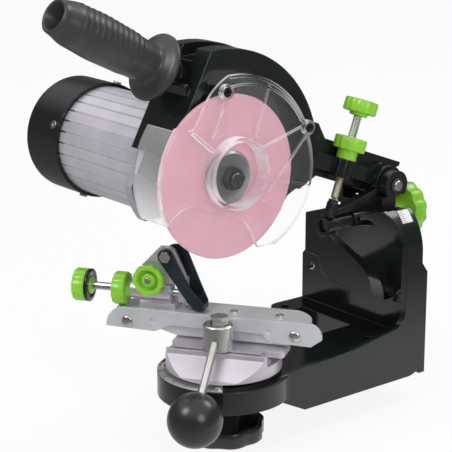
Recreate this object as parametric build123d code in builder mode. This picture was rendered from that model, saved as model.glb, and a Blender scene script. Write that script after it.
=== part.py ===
"""Bench sharpener for saw chain: a grinding head on a lifting arm over a swivelling chain vise.

Units are millimetres, Z is up, Y points at the wall. The origin lies on the wall plane, at the height of the
foot's underside, straight behind the vise's turning axis. The grinding wheel's axle runs along X.
"""

import os
from math import cos, radians, sin, tan

from build123d import *

os.makedirs("parts", exist_ok=True)

# ------------------------------------------------------------------ driving dimensions
run_gap = 0.05  # radial clearance of a running or sliding fit
face_gap = 0.1  # axial clearance between faces that turn against each other
cast_gap = 0.5  # clearance between neighbouring castings

# grinding wheel and its axle
wheel_r = 72.5
wheel_w = 4.7
wheel_face_x = 2.0
wheel_bore_r = 11.1
axle_y = -204.0
axle_z = 214.4

# pivots in the shared frame
hinge_y = -14.0
hinge_z = 179.5
arm_slope = 20.7  # degrees that the arm falls towards the hinge
tilt_z = 150.0
turn_y = -207.0
chain_z = 88.0
rails_turn = 35.0  # degrees that the vise is swivelled at rest

# frame casting
web_x = 48.0
web_t = 6.0
shelf_left = -120.0
shelf_front = -29.0
floor_z = 34.0
floor_t = 6.0
wall_t = 7.0
drum_x = -6.0
drum_z = 119.5
drum_r = 54.0
rim_inner_r = 49.0
drum_rear_y = -8.0
drum_front_y = -28.0
ring_r = 59.7
ring_bottom = 17.5
ring_top = 38.5
boss_front_y = -91.0
boss_r = 10.0
bolt_hole_r = 4.5
bolt_spacing = 120.0
bolt_right_x = 13.5
ear_y = -42.0
wall_bolt_z = 69.0

# motor
motor_r = 51.5
motor_front_x = -60.0
motor_rear_x = -188.0
cap_r = 55.0
cap_end_x = -238.0
cap_lap = 4.0  # how far the cap reaches over the motor's shell
cap_wall = 3.0
flange_r = 66.0
flange_level = 42.0
shaft_r = 7.5

# arm and wheel housing
housing_r = 110.5
facet_reach = 62.0  # distance of the handle's flat from the axle
facet_rise = 28.0  # degrees that the handle's axis rises towards the front
arm_top = 22.8
arm_low = -12.0
arm_left_x = -35.0
arm_right_x = -5.0
eye_r = 17.0
pin_r = 5.0
stop_x = 5.5
stop_reach = 62.0
stop_tip = -28.3
stop_r = 4.0
stop_length = 90.0

# vise
cradle_r = 34.0
jaw_gap = 1.4
cam_throw = 4.0
cam_r = 13.5


# ------------------------------------------------------------------ planes and shared shapes
def across(x, y=0.0, z=0.0):
    """Plane square to X: sketch axes are Y and Z."""
    return Plane(origin=(x, y, z), x_dir=(0, 1, 0), z_dir=(1, 0, 0))


def on_axle(x):
    """Plane square to X with its origin on the wheel's axle."""
    return across(x, axle_y, axle_z)


def on_arm(x):
    """Plane square to X at the hinge; its first axis runs back along the arm."""
    slope = radians(arm_slope)
    return Plane(origin=(x, hinge_y, hinge_z), x_dir=(0, cos(slope), -sin(slope)), z_dir=(1, 0, 0))


def arm_point(along, up):
    """Y and Z of a point given along and square to the arm, from the hinge."""
    slope = radians(arm_slope)
    y = hinge_y + along * cos(slope) + up * sin(slope)
    z = hinge_z - along * sin(slope) + up * cos(slope)
    return y, z


def up_stop(up):
    """Plane square to the depth stop's axis, at a height above the arm's centre line."""
    slope = radians(arm_slope)
    y, z = arm_point(-stop_reach, up)
    return Plane(origin=(stop_x, y, z), x_dir=(1, 0, 0), z_dir=(0, sin(slope), cos(slope)))


def facing_front(y, x=0.0, z=0.0):
    """Plane square to Y: sketch axes are X and Z, and it extrudes towards the front."""
    return Plane(origin=(x, y, z), x_dir=(1, 0, 0), z_dir=(0, -1, 0))


def on_handle(reach, x=-45.0):
    """Plane square to the handle's axis, at a distance from its flange."""
    rise = radians(facet_rise)
    y = axle_y - 40.6 - reach * cos(rise)
    z = axle_z + 93.2 + reach * sin(rise)
    return Plane(origin=(x, y, z), x_dir=(1, 0, 0), z_dir=(0, -cos(rise), sin(rise)))


rail_cos = cos(radians(rails_turn))
rail_sin = sin(radians(rails_turn))


def vise_point(along, back):
    """X and Y of a point given along the rails and behind the jaw line."""
    x = along * rail_cos - back * rail_sin
    y = turn_y + along * rail_sin + back * rail_cos
    return x, y


def vise_top(z, along=0.0, back=0.0):
    """Level plane turned with the rails."""
    x, y = vise_point(along, back)
    return Plane(origin=(x, y, z), x_dir=(rail_cos, rail_sin, 0), z_dir=(0, 0, 1))


def vise_front(back, along=0.0, z=0.0):
    """Upright plane along the rails; it extrudes towards the user."""
    x, y = vise_point(along, back)
    return Plane(origin=(x, y, z), x_dir=(rail_cos, rail_sin, 0), z_dir=(rail_sin, -rail_cos, 0))


def vise_end(along, back=0.0, z=0.0):
    """Upright plane square to the rails: sketch axes point back and up."""
    x, y = vise_point(along, back)
    return Plane(origin=(x, y, z), x_dir=(-rail_sin, rail_cos, 0), z_dir=(rail_cos, rail_sin, 0))


def rim_point(radius, angle):
    """Point of a circle round the sketch's origin, at an angle in degrees."""
    return radius * cos(radians(angle)), radius * sin(radians(angle))


def save(builder, name):
    """Label a finished sub-part and write it as a STEP file."""
    builder.part.label = name
    export_step(builder.part, f"parts/{name}.step")


def ring_solid(plane, outer, inner, length):
    """Tube standing on a plane."""
    with BuildPart() as tube:
        with BuildSketch(plane):
            Circle(outer)
            if inner > 0:
                Circle(inner, mode=Mode.SUBTRACT)
        extrude(amount=length)
    return tube


def screws(places, shank_r, shank_length, head_r, head_h, socket_r):
    """Socket screws as one group: each plane is the face under a head, its normal points out."""
    with BuildPart() as group:
        for place in places:
            with BuildSketch(place.offset(-shank_length)):
                Circle(shank_r)
            extrude(amount=shank_length)
            with BuildSketch(place):
                Circle(head_r)
            extrude(amount=head_h)
            with BuildSketch(place.offset(head_h * 0.45)):
                RegularPolygon(socket_r, 6)
            extrude(amount=head_h, mode=Mode.SUBTRACT)
    return group


def lobed_knob(plane, radius, height, bore_r, hub_r, hub_h, lobes=9):
    """Hand knob: a hub standing on the plane and a scalloped head on the hub."""
    scoop_r = radius * 0.22
    with BuildPart() as knob:
        with BuildSketch(plane):
            Circle(hub_r)
        extrude(amount=hub_h)
        with BuildSketch(plane.offset(hub_h)):
            Circle(radius)
            with PolarLocations(radius + scoop_r * 0.62, lobes):
                Circle(scoop_r, mode=Mode.SUBTRACT)
        extrude(amount=height)
        chamfer(knob.faces().sort_by(Axis(plane.origin, plane.z_dir))[-1].edges(), radius * 0.07)
        if bore_r > 0:
            with BuildSketch(plane):
                Circle(bore_r)
            extrude(amount=hub_h + height * 0.6, mode=Mode.SUBTRACT)
    return knob


# ------------------------------------------------------------------ frame casting
bolt_left_x = bolt_right_x - bolt_spacing
web_front_y = drum_front_y
hub_bore_r = 6.0 + run_gap
drum_left_x = drum_x - drum_r * cos(radians(30))
drum_left_z = drum_z + drum_r * sin(radians(30))

with BuildPart() as base_frame:
    # shoulder: sweeps from the tilt shaft's front boss down to the wall and out to the side web
    shoulder_levels = (
        (66.0, -18.0, -17.0),
        (104.0, -38.0, -23.0),
        (136.0, -74.0, web_front_y),
        (168.0, -91.0, web_front_y),
    )
    for level, centre_y, side_y in shoulder_levels:
        with BuildSketch(Plane.XY.offset(level)):
            with BuildLine():
                Polyline((9, centre_y), (-9, centre_y), (-9, -8), (web_x, -8), (web_x, side_y))
                ThreePointArc((web_x, side_y), (24.0, side_y * 0.62 + centre_y * 0.38 + 4.0), (9, centre_y))
            make_face()
    loft()
    # keep what lies inside the round back's outline
    with BuildSketch(facing_front(0)):
        with BuildLine():
            Line((-20, 40), (web_x, 40))
            Line((web_x, 40), (web_x, drum_z))
            ThreePointArc((web_x, drum_z), (drum_x, drum_z + drum_r), (drum_x - drum_r, drum_z))
            Polyline((drum_x - drum_r, drum_z), (-20, 80), (-20, 40))
        make_face()
    extrude(amount=120, mode=Mode.INTERSECT)
    # sloped ridge
    with BuildSketch(across(-60)):
        with BuildLine():
            Polyline((-95, 152.4), (-28, 162.6), (0, 162.6), (0, 190), (-95, 190), close=True)
        make_face()
    extrude(amount=120, mode=Mode.SUBTRACT)
    # trough for the tilting bracket
    with BuildSketch(facing_front(-60, 0, tilt_z)):
        Circle(13.0)
    extrude(amount=-60 - drum_rear_y - 6.0, mode=Mode.SUBTRACT)
    with BuildSketch(facing_front(-34, 0, tilt_z)):
        Circle(21)
    extrude(amount=-20, mode=Mode.SUBTRACT)
    with BuildSketch(Plane.XY.offset(tilt_z - 2)):
        with BuildLine():
            Polyline((-70, -75), (15.8, -75), (15.8, -58), (29, -36), (29, -14), (-70, -14), close=True)
        make_face()
    extrude(amount=40, mode=Mode.SUBTRACT)

    # wall panel, stepped forward above the bolting pads
    with BuildSketch(facing_front(-wall_t)):
        with BuildLine():
            Polyline(
                (-108.5, 86), (-90, 85), (-84, 72), (-75, 65), (-4, 64), (4, 69), (8, 79), (12, 86),
                (25, 90), (web_x, 92),
            )
            Line((web_x, 92), (web_x, drum_z))
            ThreePointArc((web_x, drum_z), (drum_x, drum_z + drum_r), (drum_left_x, drum_left_z))
            Polyline((drum_left_x, drum_left_z), (-108.5, 127), (-108.5, 86))
        make_face()
    extrude(amount=wall_t)
    with BuildSketch(facing_front(0)):
        with BuildLine():
            Polyline(
                (shelf_left, 0), (web_x, 0), (web_x, 100), (-100, 100), (-108.5, 93), (shelf_left, 81),
                close=True,
            )
        make_face()
    extrude(amount=wall_t)
    # round back of the tilt bearing, cut level under the bracket's cheeks
    with BuildSketch(facing_front(drum_rear_y, drum_x, drum_z)):
        Circle(drum_r)
    extrude(amount=6)
    with BuildSketch(facing_front(drum_rear_y, drum_x, drum_z)):
        with BuildLine():
            Line(rim_point(rim_inner_r, 0), rim_point(drum_r, 0))
            ThreePointArc(rim_point(drum_r, 0), rim_point(drum_r, 25), rim_point(drum_r, 51))
            Line(rim_point(drum_r, 51), rim_point(rim_inner_r, 51))
            ThreePointArc(rim_point(rim_inner_r, 51), rim_point(rim_inner_r, 25), rim_point(rim_inner_r, 0))
        make_face()
    extrude(amount=drum_rear_y - drum_front_y)
    with BuildSketch(facing_front(1)):
        with BuildLine():
            Polyline((-80, 157), (29.6, 157), (29.6, 190), (-80, 190), close=True)
        make_face()
    extrude(amount=1 - drum_front_y, mode=Mode.SUBTRACT)

    # bosses that carry the tilt shaft
    with BuildSketch(facing_front(-60, 0, tilt_z)):
        Circle(boss_r)
    extrude(amount=-60 - boss_front_y)
    with BuildSketch(facing_front(drum_rear_y, 0, tilt_z)):
        Circle(boss_r + 2)
    extrude(amount=6)
    with BuildSketch(facing_front(0, 0, tilt_z)):
        Circle(hub_bore_r)
    extrude(amount=100, mode=Mode.SUBTRACT)
    with BuildSketch(facing_front(boss_front_y + 8, 0, tilt_z - 17)):
        Circle(2.5)
    extrude(amount=20, mode=Mode.SUBTRACT)

    # side web
    with BuildSketch(across(web_x - web_t)):
        with BuildLine():
            Polyline((-22, 0), (-152, 0), (-187, ring_bottom), (-187, ring_top), (-96, 43), (-43, 51))
            ThreePointArc((-43, 51), (-32.4, 55.4), (web_front_y, 66))
            Polyline(
                (web_front_y, 66), (web_front_y, drum_z), (drum_rear_y, drum_z), (drum_rear_y, 111),
                (0, 100), (0, 22),
            )
            ThreePointArc((0, 22), (-6.44, 6.44), (-22, 0))
        make_face()
    extrude(amount=web_t)

    # foot arm and shelf, hollow below
    with BuildSketch():
        with BuildLine():
            Polyline((web_x, -22), (web_x, -187), (-50, -187), (-24, -110), (-24, -22), close=True)
        make_face()
        with Locations(((shelf_left + web_x - web_t) / 2, shelf_front / 2 - 2.5)):
            Rectangle(web_x - web_t - shelf_left, -shelf_front - 5)
        with Locations((bolt_left_x, ear_y)):
            Circle(14)
        with Locations((bolt_left_x, (ear_y + shelf_front) / 2)):
            Rectangle(28, shelf_front - ear_y)
    extrude(amount=floor_z)
    with BuildSketch():
        with BuildLine():
            Polyline(
                (web_x - web_t, -wall_t), (web_x - web_t, -200), (-40, -200), (-18, -108), (-18, -wall_t),
                close=True,
            )
        make_face()
        with Locations(((shelf_left - 18) / 2 + 3, (shelf_front - wall_t) / 2 + 3)):
            Rectangle(-18 - shelf_left - 6, -shelf_front - wall_t - 6)
        with Locations((bolt_right_x, ear_y)):
            Circle(10, mode=Mode.SUBTRACT)
        with Locations((bolt_left_x, ear_y)):
            Circle(14, mode=Mode.SUBTRACT)
    extrude(amount=floor_z - floor_t, mode=Mode.SUBTRACT)
    # underside rises to the ring
    with BuildSketch(across(-70)):
        with BuildLine():
            Polyline((-152, -1), (-152, 0), (-187, ring_bottom), (-290, ring_bottom), (-290, -1), close=True)
        make_face()
    extrude(amount=150, mode=Mode.SUBTRACT)
    # turntable ring
    with BuildSketch(Plane.XY.offset(ring_bottom)):
        with Locations((0, turn_y)):
            Circle(ring_r)
    extrude(amount=ring_top - ring_bottom)
    with BuildSketch(Plane.XY.offset(ring_bottom)):
        with Locations((0, turn_y)):
            Circle(ring_r - 9)
    extrude(amount=11.5, mode=Mode.SUBTRACT)
    # holes
    with BuildSketch():
        with Locations((bolt_left_x, ear_y), (bolt_right_x, ear_y)):
            Circle(bolt_hole_r)
        with Locations((0, turn_y)):
            Circle(6 + run_gap)
    extrude(amount=floor_z + 10, mode=Mode.SUBTRACT)
    with BuildSketch(facing_front(0)):
        with Locations((bolt_left_x, wall_bolt_z), (bolt_right_x, wall_bolt_z)):
            Circle(bolt_hole_r)
    extrude(amount=30, mode=Mode.SUBTRACT)
save(base_frame, "base_frame")

tilt_shaft_front = boss_front_y + 4.0
tilt_shaft_rear = 14.0
with BuildPart() as tilt_shaft:
    with BuildSketch(facing_front(tilt_shaft_rear, 0, tilt_z)):
        Circle(hub_bore_r - run_gap)
    extrude(amount=tilt_shaft_rear - tilt_shaft_front)
    chamfer(tilt_shaft.edges(), 1.0)
save(tilt_shaft, "tilt_shaft")

# graduated quadrant on the ring
scale_t = 1.2
scale_half_angle = 50.0
scale_screw_r = 54.0
scale_screw_turn = 46.0
with BuildPart() as angle_scale:
    with BuildSketch(Plane.XY.offset(ring_top)):
        with Locations((0, turn_y)):
            Circle(ring_r - 0.3)
            Circle(33, mode=Mode.SUBTRACT)
        with BuildLine():
            edge = 90.0
            fan = tan(radians(scale_half_angle))
            Polyline((0, turn_y), (fan * edge, turn_y - edge), (-fan * edge, turn_y - edge), close=True)
        make_face(mode=Mode.INTERSECT)
    extrude(amount=scale_t)
    with BuildSketch(Plane.XY.offset(ring_top)):
        with Locations((0, turn_y)):
            with Locations(rim_point(scale_screw_r, -90 - scale_screw_turn)):
                Circle(1.7)
            with Locations(rim_point(scale_screw_r, -90 + scale_screw_turn)):
                Circle(1.7)
    extrude(amount=scale_t, mode=Mode.SUBTRACT)
save(angle_scale, "angle_scale")
scale_screw_planes = []
for side in (-1, 1):
    aim = radians(-90 + side * scale_screw_turn)
    spot = (scale_screw_r * cos(aim), turn_y + scale_screw_r * sin(aim), ring_top + scale_t)
    scale_screw_planes.append(Plane(origin=spot, x_dir=(1, 0, 0), z_dir=(0, 0, 1)))
scale_screws = screws(scale_screw_planes, 1.5, scale_t, 3.2, 1.8, 1.2)
save(scale_screws, "scale_screws")

# graduated tilt label on the rim of the round back
with BuildPart() as tilt_scale:
    with BuildSketch(facing_front(-13, drum_x, drum_z)):
        with BuildLine():
            label_r = drum_r + 0.8
            Line(rim_point(drum_r, 33), rim_point(label_r, 33))
            ThreePointArc(rim_point(label_r, 33), rim_point(label_r, 40), rim_point(label_r, 47))
            Line(rim_point(label_r, 47), rim_point(drum_r, 47))
            ThreePointArc(rim_point(drum_r, 47), rim_point(drum_r, 40), rim_point(drum_r, 33))
        make_face()
    extrude(amount=13)
save(tilt_scale, "tilt_scale")

# ------------------------------------------------------------------ tilting bracket and hinge
cheek_right_x = 8.0
cheek_outer_x = 18.0
cheek_left_x = -46.0
cheek_inner_x = -35.5
cheek_r = 14.0
overhang_z = 170.0
beam_left_x = stop_x - 4.5
beam_right_x = stop_x + 4.0
pad_h = 3.0

with BuildPart() as tilt_bracket:
    # sleeve on the tilt shaft
    with BuildSketch(facing_front(drum_rear_y - 6.0 - face_gap, 0, tilt_z)):
        Circle(12)
    extrude(amount=60 - 14 - 2 * face_gap)
    # yoke between the cheeks
    with BuildSketch(facing_front(-15)):
        with BuildLine():
            Polyline(
                (cheek_left_x, overhang_z), (cheek_left_x, 157), (-12, 143), (12, 143), (cheek_outer_x, 150),
                (cheek_outer_x, overhang_z), (cheek_right_x, overhang_z), (cheek_right_x, 161),
                (cheek_inner_x, 161), (cheek_inner_x, overhang_z), close=True,
            )
        make_face()
    extrude(amount=17)
    # cheeks round the hinge pin
    for near_x, far_x in ((cheek_right_x, cheek_outer_x), (cheek_left_x, cheek_inner_x)):
        with BuildSketch(across(near_x, hinge_y, hinge_z)):
            Circle(cheek_r)
        extrude(amount=far_x - near_x)
    with BuildSketch(across(cheek_left_x - 1)):
        with BuildLine():
            Polyline((-15, 140), (10, 140), (10, overhang_z), (-15, overhang_z), close=True)
        make_face()
    extrude(amount=cheek_outer_x - cheek_left_x + 2, mode=Mode.SUBTRACT)
    # beam that carries the depth stop's landing pad
    with BuildSketch(across(beam_left_x)):
        with BuildLine():
            Polyline(
                (-92, 160.6), (-56, 160.6), (-32, 156), (-32, 178), (-36, 176), (-76, 166.5), (-92, 166.5),
                close=True,
            )
        make_face()
    extrude(amount=beam_right_x - beam_left_x)
    with BuildSketch(up_stop(stop_tip - pad_h - 14)):
        Circle(5.4)
    extrude(amount=14)
    with BuildSketch(up_stop(stop_tip - pad_h)):
        Circle(4.6)
    extrude(amount=pad_h - face_gap)
    # clear of the frame's front boss
    with BuildSketch(facing_front(-60, 0, tilt_z)):
        Circle(boss_r + cast_gap)
    extrude(amount=40, mode=Mode.SUBTRACT)
    # bores
    with BuildSketch(facing_front(0, 0, tilt_z)):
        Circle(hub_bore_r)
    extrude(amount=61, mode=Mode.SUBTRACT)
    with BuildSketch(across(cheek_left_x - 1, hinge_y, hinge_z)):
        Circle(pin_r + run_gap)
    extrude(amount=cheek_outer_x - cheek_left_x + 2, mode=Mode.SUBTRACT)
save(tilt_bracket, "tilt_bracket")

pin_left_x = cheek_left_x - 4.0
pin_right_x = cheek_outer_x + 3.0
with BuildPart() as hinge_pin:
    with BuildSketch(across(pin_left_x, hinge_y, hinge_z)):
        Circle(pin_r)
    extrude(amount=pin_right_x - pin_left_x)
    chamfer(hinge_pin.edges(), 0.8)
    for groove_x in (cheek_left_x - 1.6, cheek_outer_x + 0.4):
        with BuildSketch(across(groove_x, hinge_y, hinge_z)):
            Circle(pin_r)
            Circle(pin_r - 1, mode=Mode.SUBTRACT)
        extrude(amount=1.2, mode=Mode.SUBTRACT)
save(hinge_pin, "hinge_pin")
with BuildPart() as pin_clips:
    for groove_x in (cheek_left_x - 1.6, cheek_outer_x + 0.4):
        with BuildSketch(across(groove_x + 0.1, hinge_y, hinge_z)):
            Circle(pin_r + 2)
            Circle(pin_r - 0.9, mode=Mode.SUBTRACT)
            with Locations((0, -pin_r)):
                Rectangle(5, 6, mode=Mode.SUBTRACT)
        extrude(amount=1.0)
save(pin_clips, "pin_clips")

tilt_lock_knob = lobed_knob(
    Plane(origin=(0, face_gap - wall_t, tilt_z), x_dir=(1, 0, 0), z_dir=(0, 1, 0)),
    26.0, 15.0, hub_bore_r, 12.0, 12.5,
)
save(tilt_lock_knob, "tilt_lock_knob")

# ------------------------------------------------------------------ arm and wheel housing
handle_n_y = -cos(radians(facet_rise))
handle_n_z = sin(radians(facet_rise))


def facet_corner(reach, along):
    """Point in the axle's sketch plane: reach out along the handle's axis, then along the flat."""
    return reach * handle_n_y + along * handle_n_z, reach * handle_n_z - along * handle_n_y


def beyond_flat(reach):
    """Outline of all that lies further than reach from the axle, on the handle's side."""
    corners = [(reach, -150), (reach, 150), (190, 150), (190, -150)]
    return Polyline(*[facet_corner(*corner) for corner in corners], close=True)


wall_reach = 54.0
plate_rear_x = -13.0
plate_front_x = -9.0
flange_bolt_r = 56.0
flange_bolt_turns = (0, 60, 118)
housing_rear_x = -60.0
inner_r = 84.0
lock_knob_seat = 9.5
stop_boss_h = 17.5
lock_knob_r = 15.0
lock_hub_h = 9.0
stop_knob_seat = 51.0
guard_screw_spots = ((-9.0, 77.0), (84.0, 34.0))
with BuildPart() as arm_housing:
    # three stepped bands of the wheel housing
    bands = ((housing_rear_x, -45, 112.0), (-45, -25, 101.0), (-25, arm_right_x, housing_r))
    for rear_x, front_x, band_r in bands:
        with BuildSketch(on_axle(rear_x)):
            Circle(band_r)
        extrude(amount=front_x - rear_x)
    # hollow behind the backing plate, leaving the wall behind the handle's flat
    with BuildSketch(on_axle(housing_rear_x)):
        Circle(inner_r)
        with BuildLine():
            beyond_flat(wall_reach)
        make_face(mode=Mode.SUBTRACT)
    extrude(amount=plate_rear_x - housing_rear_x, mode=Mode.SUBTRACT)
    # recess that the clear guard's rim stands over
    with BuildSketch(on_axle(plate_front_x)):
        Circle(92)
        with BuildLine():
            beyond_flat(wall_reach)
        make_face(mode=Mode.SUBTRACT)
    extrude(amount=10, mode=Mode.SUBTRACT)
    # flat under the handle
    with BuildSketch(on_axle(housing_rear_x - 1)):
        with BuildLine():
            beyond_flat(facet_reach)
        make_face()
    extrude(amount=80, mode=Mode.SUBTRACT)
    # open underside
    with BuildSketch(on_axle(housing_rear_x - 1)):
        with BuildLine():
            Polyline(
                (-140, 24), (-30, 24), (0, -70), (40, -66), (62, -48), (78, -31), (89, -26), (109, -17),
                (150, -30), (150, -150), (-140, -150), close=True,
            )
        make_face()
    extrude(amount=80, mode=Mode.SUBTRACT)
    # backing plate behind the wheel
    with BuildSketch(on_axle(plate_rear_x)):
        Circle(66)
    extrude(amount=plate_front_x - plate_rear_x)
    # neck round the shaft, and ribs to the bands
    with BuildSketch(on_axle(-50)):
        Circle(23)
        for rib_angle in (15, 65, 112):
            with Locations(Location((0, 0, 0), (0, 0, rib_angle))):
                with Locations((54, 0)):
                    Rectangle(68, 5)
        for bolt_turn in flange_bolt_turns:
            with Locations(rim_point(flange_bolt_r, bolt_turn)):
                Circle(7)
    extrude(amount=plate_rear_x + 50)
    # arm
    with BuildSketch(on_arm(arm_left_x)):
        with BuildLine():
            Polyline(
                (-112, arm_low), (8, arm_low), (13, 0), (13, 15), (20, 19), (20, arm_top), (-97, arm_top),
                close=True,
            )
        make_face()
        with BuildLine():
            Line((-84, arm_top - 1), (-84, arm_top))
            Line((-84, arm_top), (-97, 34))
            Polyline((-97, 34), (-110, 34), (-110, arm_top - 1), (-84, arm_top - 1))
        make_face()
    extrude(amount=arm_right_x - arm_left_x)
    # hinge eye
    with BuildSketch(across(-34.5, hinge_y, hinge_z)):
        Circle(eye_r)
    extrude(amount=cheek_right_x - cast_gap + 34.5)
    # side lug and the boss of the depth stop
    with BuildSketch(on_arm(arm_right_x)):
        with BuildLine():
            Polyline((-100, -5), (-20, -5), (-14, 0), (-20, 9), (-96, 9), (-100, 5), close=True)
        make_face()
    extrude(amount=9)
    with BuildSketch(up_stop(lock_knob_seat - stop_boss_h)):
        Circle(9.5)
        with Locations((-9, 0)):
            Rectangle(18, 19)
    extrude(amount=stop_boss_h)
    # hollow that clears the lock knob's head
    with BuildSketch(up_stop(lock_knob_seat + lock_hub_h - cast_gap)):
        Circle(lock_knob_r + cast_gap)
    extrude(amount=40, mode=Mode.SUBTRACT)
    # boss under the handle
    with BuildSketch(on_handle(-20)):
        Circle(14)
    extrude(amount=11.5)
    # bosses of the guard's screws
    for boss_spot in guard_screw_spots:
        with BuildSketch(on_axle(plate_front_x - 4)):
            with Locations(boss_spot):
                Circle(3.6)
        extrude(amount=5.0 - plate_front_x + 4)
    # bores
    with BuildSketch(on_axle(-60)):
        Circle(shaft_r + 0.6)
        for bolt_turn in flange_bolt_turns:
            with Locations(rim_point(flange_bolt_r, bolt_turn)):
                Circle(2.5)
    extrude(amount=60, mode=Mode.SUBTRACT)
    with BuildSketch(across(-36, hinge_y, hinge_z)):
        Circle(pin_r + 2)
    extrude(amount=50, mode=Mode.SUBTRACT)
    with BuildSketch(up_stop(-30)):
        Circle(stop_r + run_gap)
    extrude(amount=60, mode=Mode.SUBTRACT)
    with BuildSketch(on_handle(-45)):
        Circle(5.0)
    extrude(amount=60, mode=Mode.SUBTRACT)
    for boss_spot in guard_screw_spots:
        with BuildSketch(on_axle(-30)):
            with Locations(boss_spot):
                Circle(2.05)
        extrude(amount=60, mode=Mode.SUBTRACT)
save(arm_housing, "arm_housing")

with BuildPart() as hinge_bushes:
    for near_x, far_x in ((-34.5, -22.5), (-4.5, cheek_right_x - cast_gap)):
        with BuildSketch(across(near_x, hinge_y, hinge_z)):
            Circle(pin_r + 2)
            Circle(pin_r + run_gap, mode=Mode.SUBTRACT)
        extrude(amount=far_x - near_x)
save(hinge_bushes, "hinge_bushes")

# depth stop: a screw with its knob, and the knob that locks it
with BuildPart() as stop_screw:
    with BuildSketch(up_stop(stop_tip)):
        Circle(stop_r)
    extrude(amount=stop_length)
    fillet(stop_screw.faces().sort_by(Axis.Z)[0].edges(), stop_r - 0.1)
save(stop_screw, "stop_screw")
with BuildPart() as stop_knob:
    add(lobed_knob(up_stop(stop_knob_seat), 15.5, 12.0, 0, 8.5, 3.0).part)
    with BuildSketch(up_stop(stop_knob_seat)):
        Circle(stop_r)
    extrude(amount=stop_tip + stop_length - stop_knob_seat, mode=Mode.SUBTRACT)
save(stop_knob, "stop_knob")
with BuildPart() as stop_lock_knob:
    add(lobed_knob(up_stop(lock_knob_seat + face_gap), lock_knob_r, 12.0, 0, 9.5, lock_hub_h - face_gap).part)
    with BuildSketch(up_stop(0)):
        Circle(stop_r + run_gap)
    extrude(amount=60, mode=Mode.SUBTRACT)
save(stop_lock_knob, "stop_lock_knob")

# handle
with BuildPart() as handle_grip:
    grip_plane = Plane(origin=on_handle(0).origin, x_dir=(1, 0, 0), z_dir=(0, -handle_n_z, handle_n_y))
    with BuildSketch(grip_plane):
        with BuildLine():
            Polyline((0, 0), (30.5, 0), (30.5, 4), (26, 6.5), (17.5, 8.5), (17.5, 14))
            Spline((17.5, 14), (19.5, 40), (20.5, 70), (19.5, 95), (15.5, 116))
            Polyline((15.5, 116), (12, 116), (12, 84), (0, 84), (0, 0))
        make_face()
    revolve(axis=Axis(on_handle(0).origin, on_handle(0).z_dir))
    with BuildSketch(on_handle(-5)):
        Circle(5.0)
    extrude(amount=55, mode=Mode.SUBTRACT)
save(handle_grip, "handle_grip")
handle_stud = ring_solid(on_handle(-30), 5.0, 0, 78)
save(handle_stud, "handle_stud")

# ------------------------------------------------------------------ motor
shell_inner_r = motor_r - 6.0
with BuildPart() as motor_body:
    with BuildSketch(on_axle(motor_rear_x)):
        Circle(motor_r)
        Circle(shell_inner_r, mode=Mode.SUBTRACT)
    extrude(amount=motor_front_x - motor_rear_x)
    # cooling grooves on the front and back flanks
    for flank in (90, 270):
        with BuildSketch(on_axle(motor_rear_x - 1)):
            with PolarLocations(motor_r, 11, start_angle=flank - 50 + 90, angular_range=100, endpoint=True):
                Rectangle(5.0, 1.8)
        extrude(amount=motor_front_x - motor_rear_x - 3, mode=Mode.SUBTRACT)
save(motor_body, "motor_body")

with BuildPart() as motor_flange:
    with BuildSketch(on_axle(motor_front_x)):
        Circle(flange_r)
        with BuildLine():
            beyond_flat(wall_reach - cast_gap)
        make_face(mode=Mode.SUBTRACT)
        # cut level in front, where the casting ends above the chain stop
        with Locations((0, -flange_level - 50)):
            Rectangle(200, 100, mode=Mode.SUBTRACT)
        Circle(motor_r + 0.5)
        Circle(shaft_r + 1, mode=Mode.SUBTRACT)
    extrude(amount=10)
    with BuildSketch(on_axle(motor_front_x)):
        Circle(16)
    extrude(amount=8, mode=Mode.SUBTRACT)
    for bolt_turn in flange_bolt_turns:
        with BuildSketch(on_axle(motor_front_x)):
            with Locations(rim_point(flange_bolt_r, bolt_turn)):
                Circle(2.6)
        extrude(amount=10, mode=Mode.SUBTRACT)
save(motor_flange, "motor_flange")
flange_bolt_planes = []
for bolt_turn in flange_bolt_turns:
    bolt_dy, bolt_dz = rim_point(flange_bolt_r, bolt_turn)
    spot = (motor_front_x, axle_y + bolt_dy, axle_z + bolt_dz)
    flange_bolt_planes.append(Plane(origin=spot, x_dir=(0, -1, 0), z_dir=(-1, 0, 0)))
flange_bolts = screws(flange_bolt_planes, 2.5, 22, 4.3, 5, 2.3)
save(flange_bolts, "flange_bolts")

bearing_w = 8.0
front_bearing_x = motor_front_x
rear_bearing_x = motor_rear_x - 3.0


def bearing(x):
    """Ball bearing: two races and a ring of balls between them."""
    with BuildPart() as races:
        with BuildSketch(on_axle(x)):
            Circle(16)
            Circle(13.6, mode=Mode.SUBTRACT)
            Circle(9.9)
            Circle(shaft_r, mode=Mode.SUBTRACT)
        extrude(amount=bearing_w)
        with BuildSketch(on_axle(x + 2)):
            Circle(13.8)
            Circle(9.7, mode=Mode.SUBTRACT)
        extrude(amount=bearing_w - 4)
    return races


save(bearing(front_bearing_x), "front_bearing")
save(bearing(rear_bearing_x), "rear_bearing")

cap_screw_planes = []
for cap_screw_turn in (68, 158, 248, 338):
    cap_screw_dy, cap_screw_dz = rim_point(cap_r - 0.5, cap_screw_turn)
    spot = (motor_rear_x - 3.0, axle_y + cap_screw_dy, axle_z + cap_screw_dz)
    cap_screw_planes.append(Plane(origin=spot, x_dir=(1, 0, 0), z_dir=(0, cap_screw_dy, cap_screw_dz)))

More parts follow.
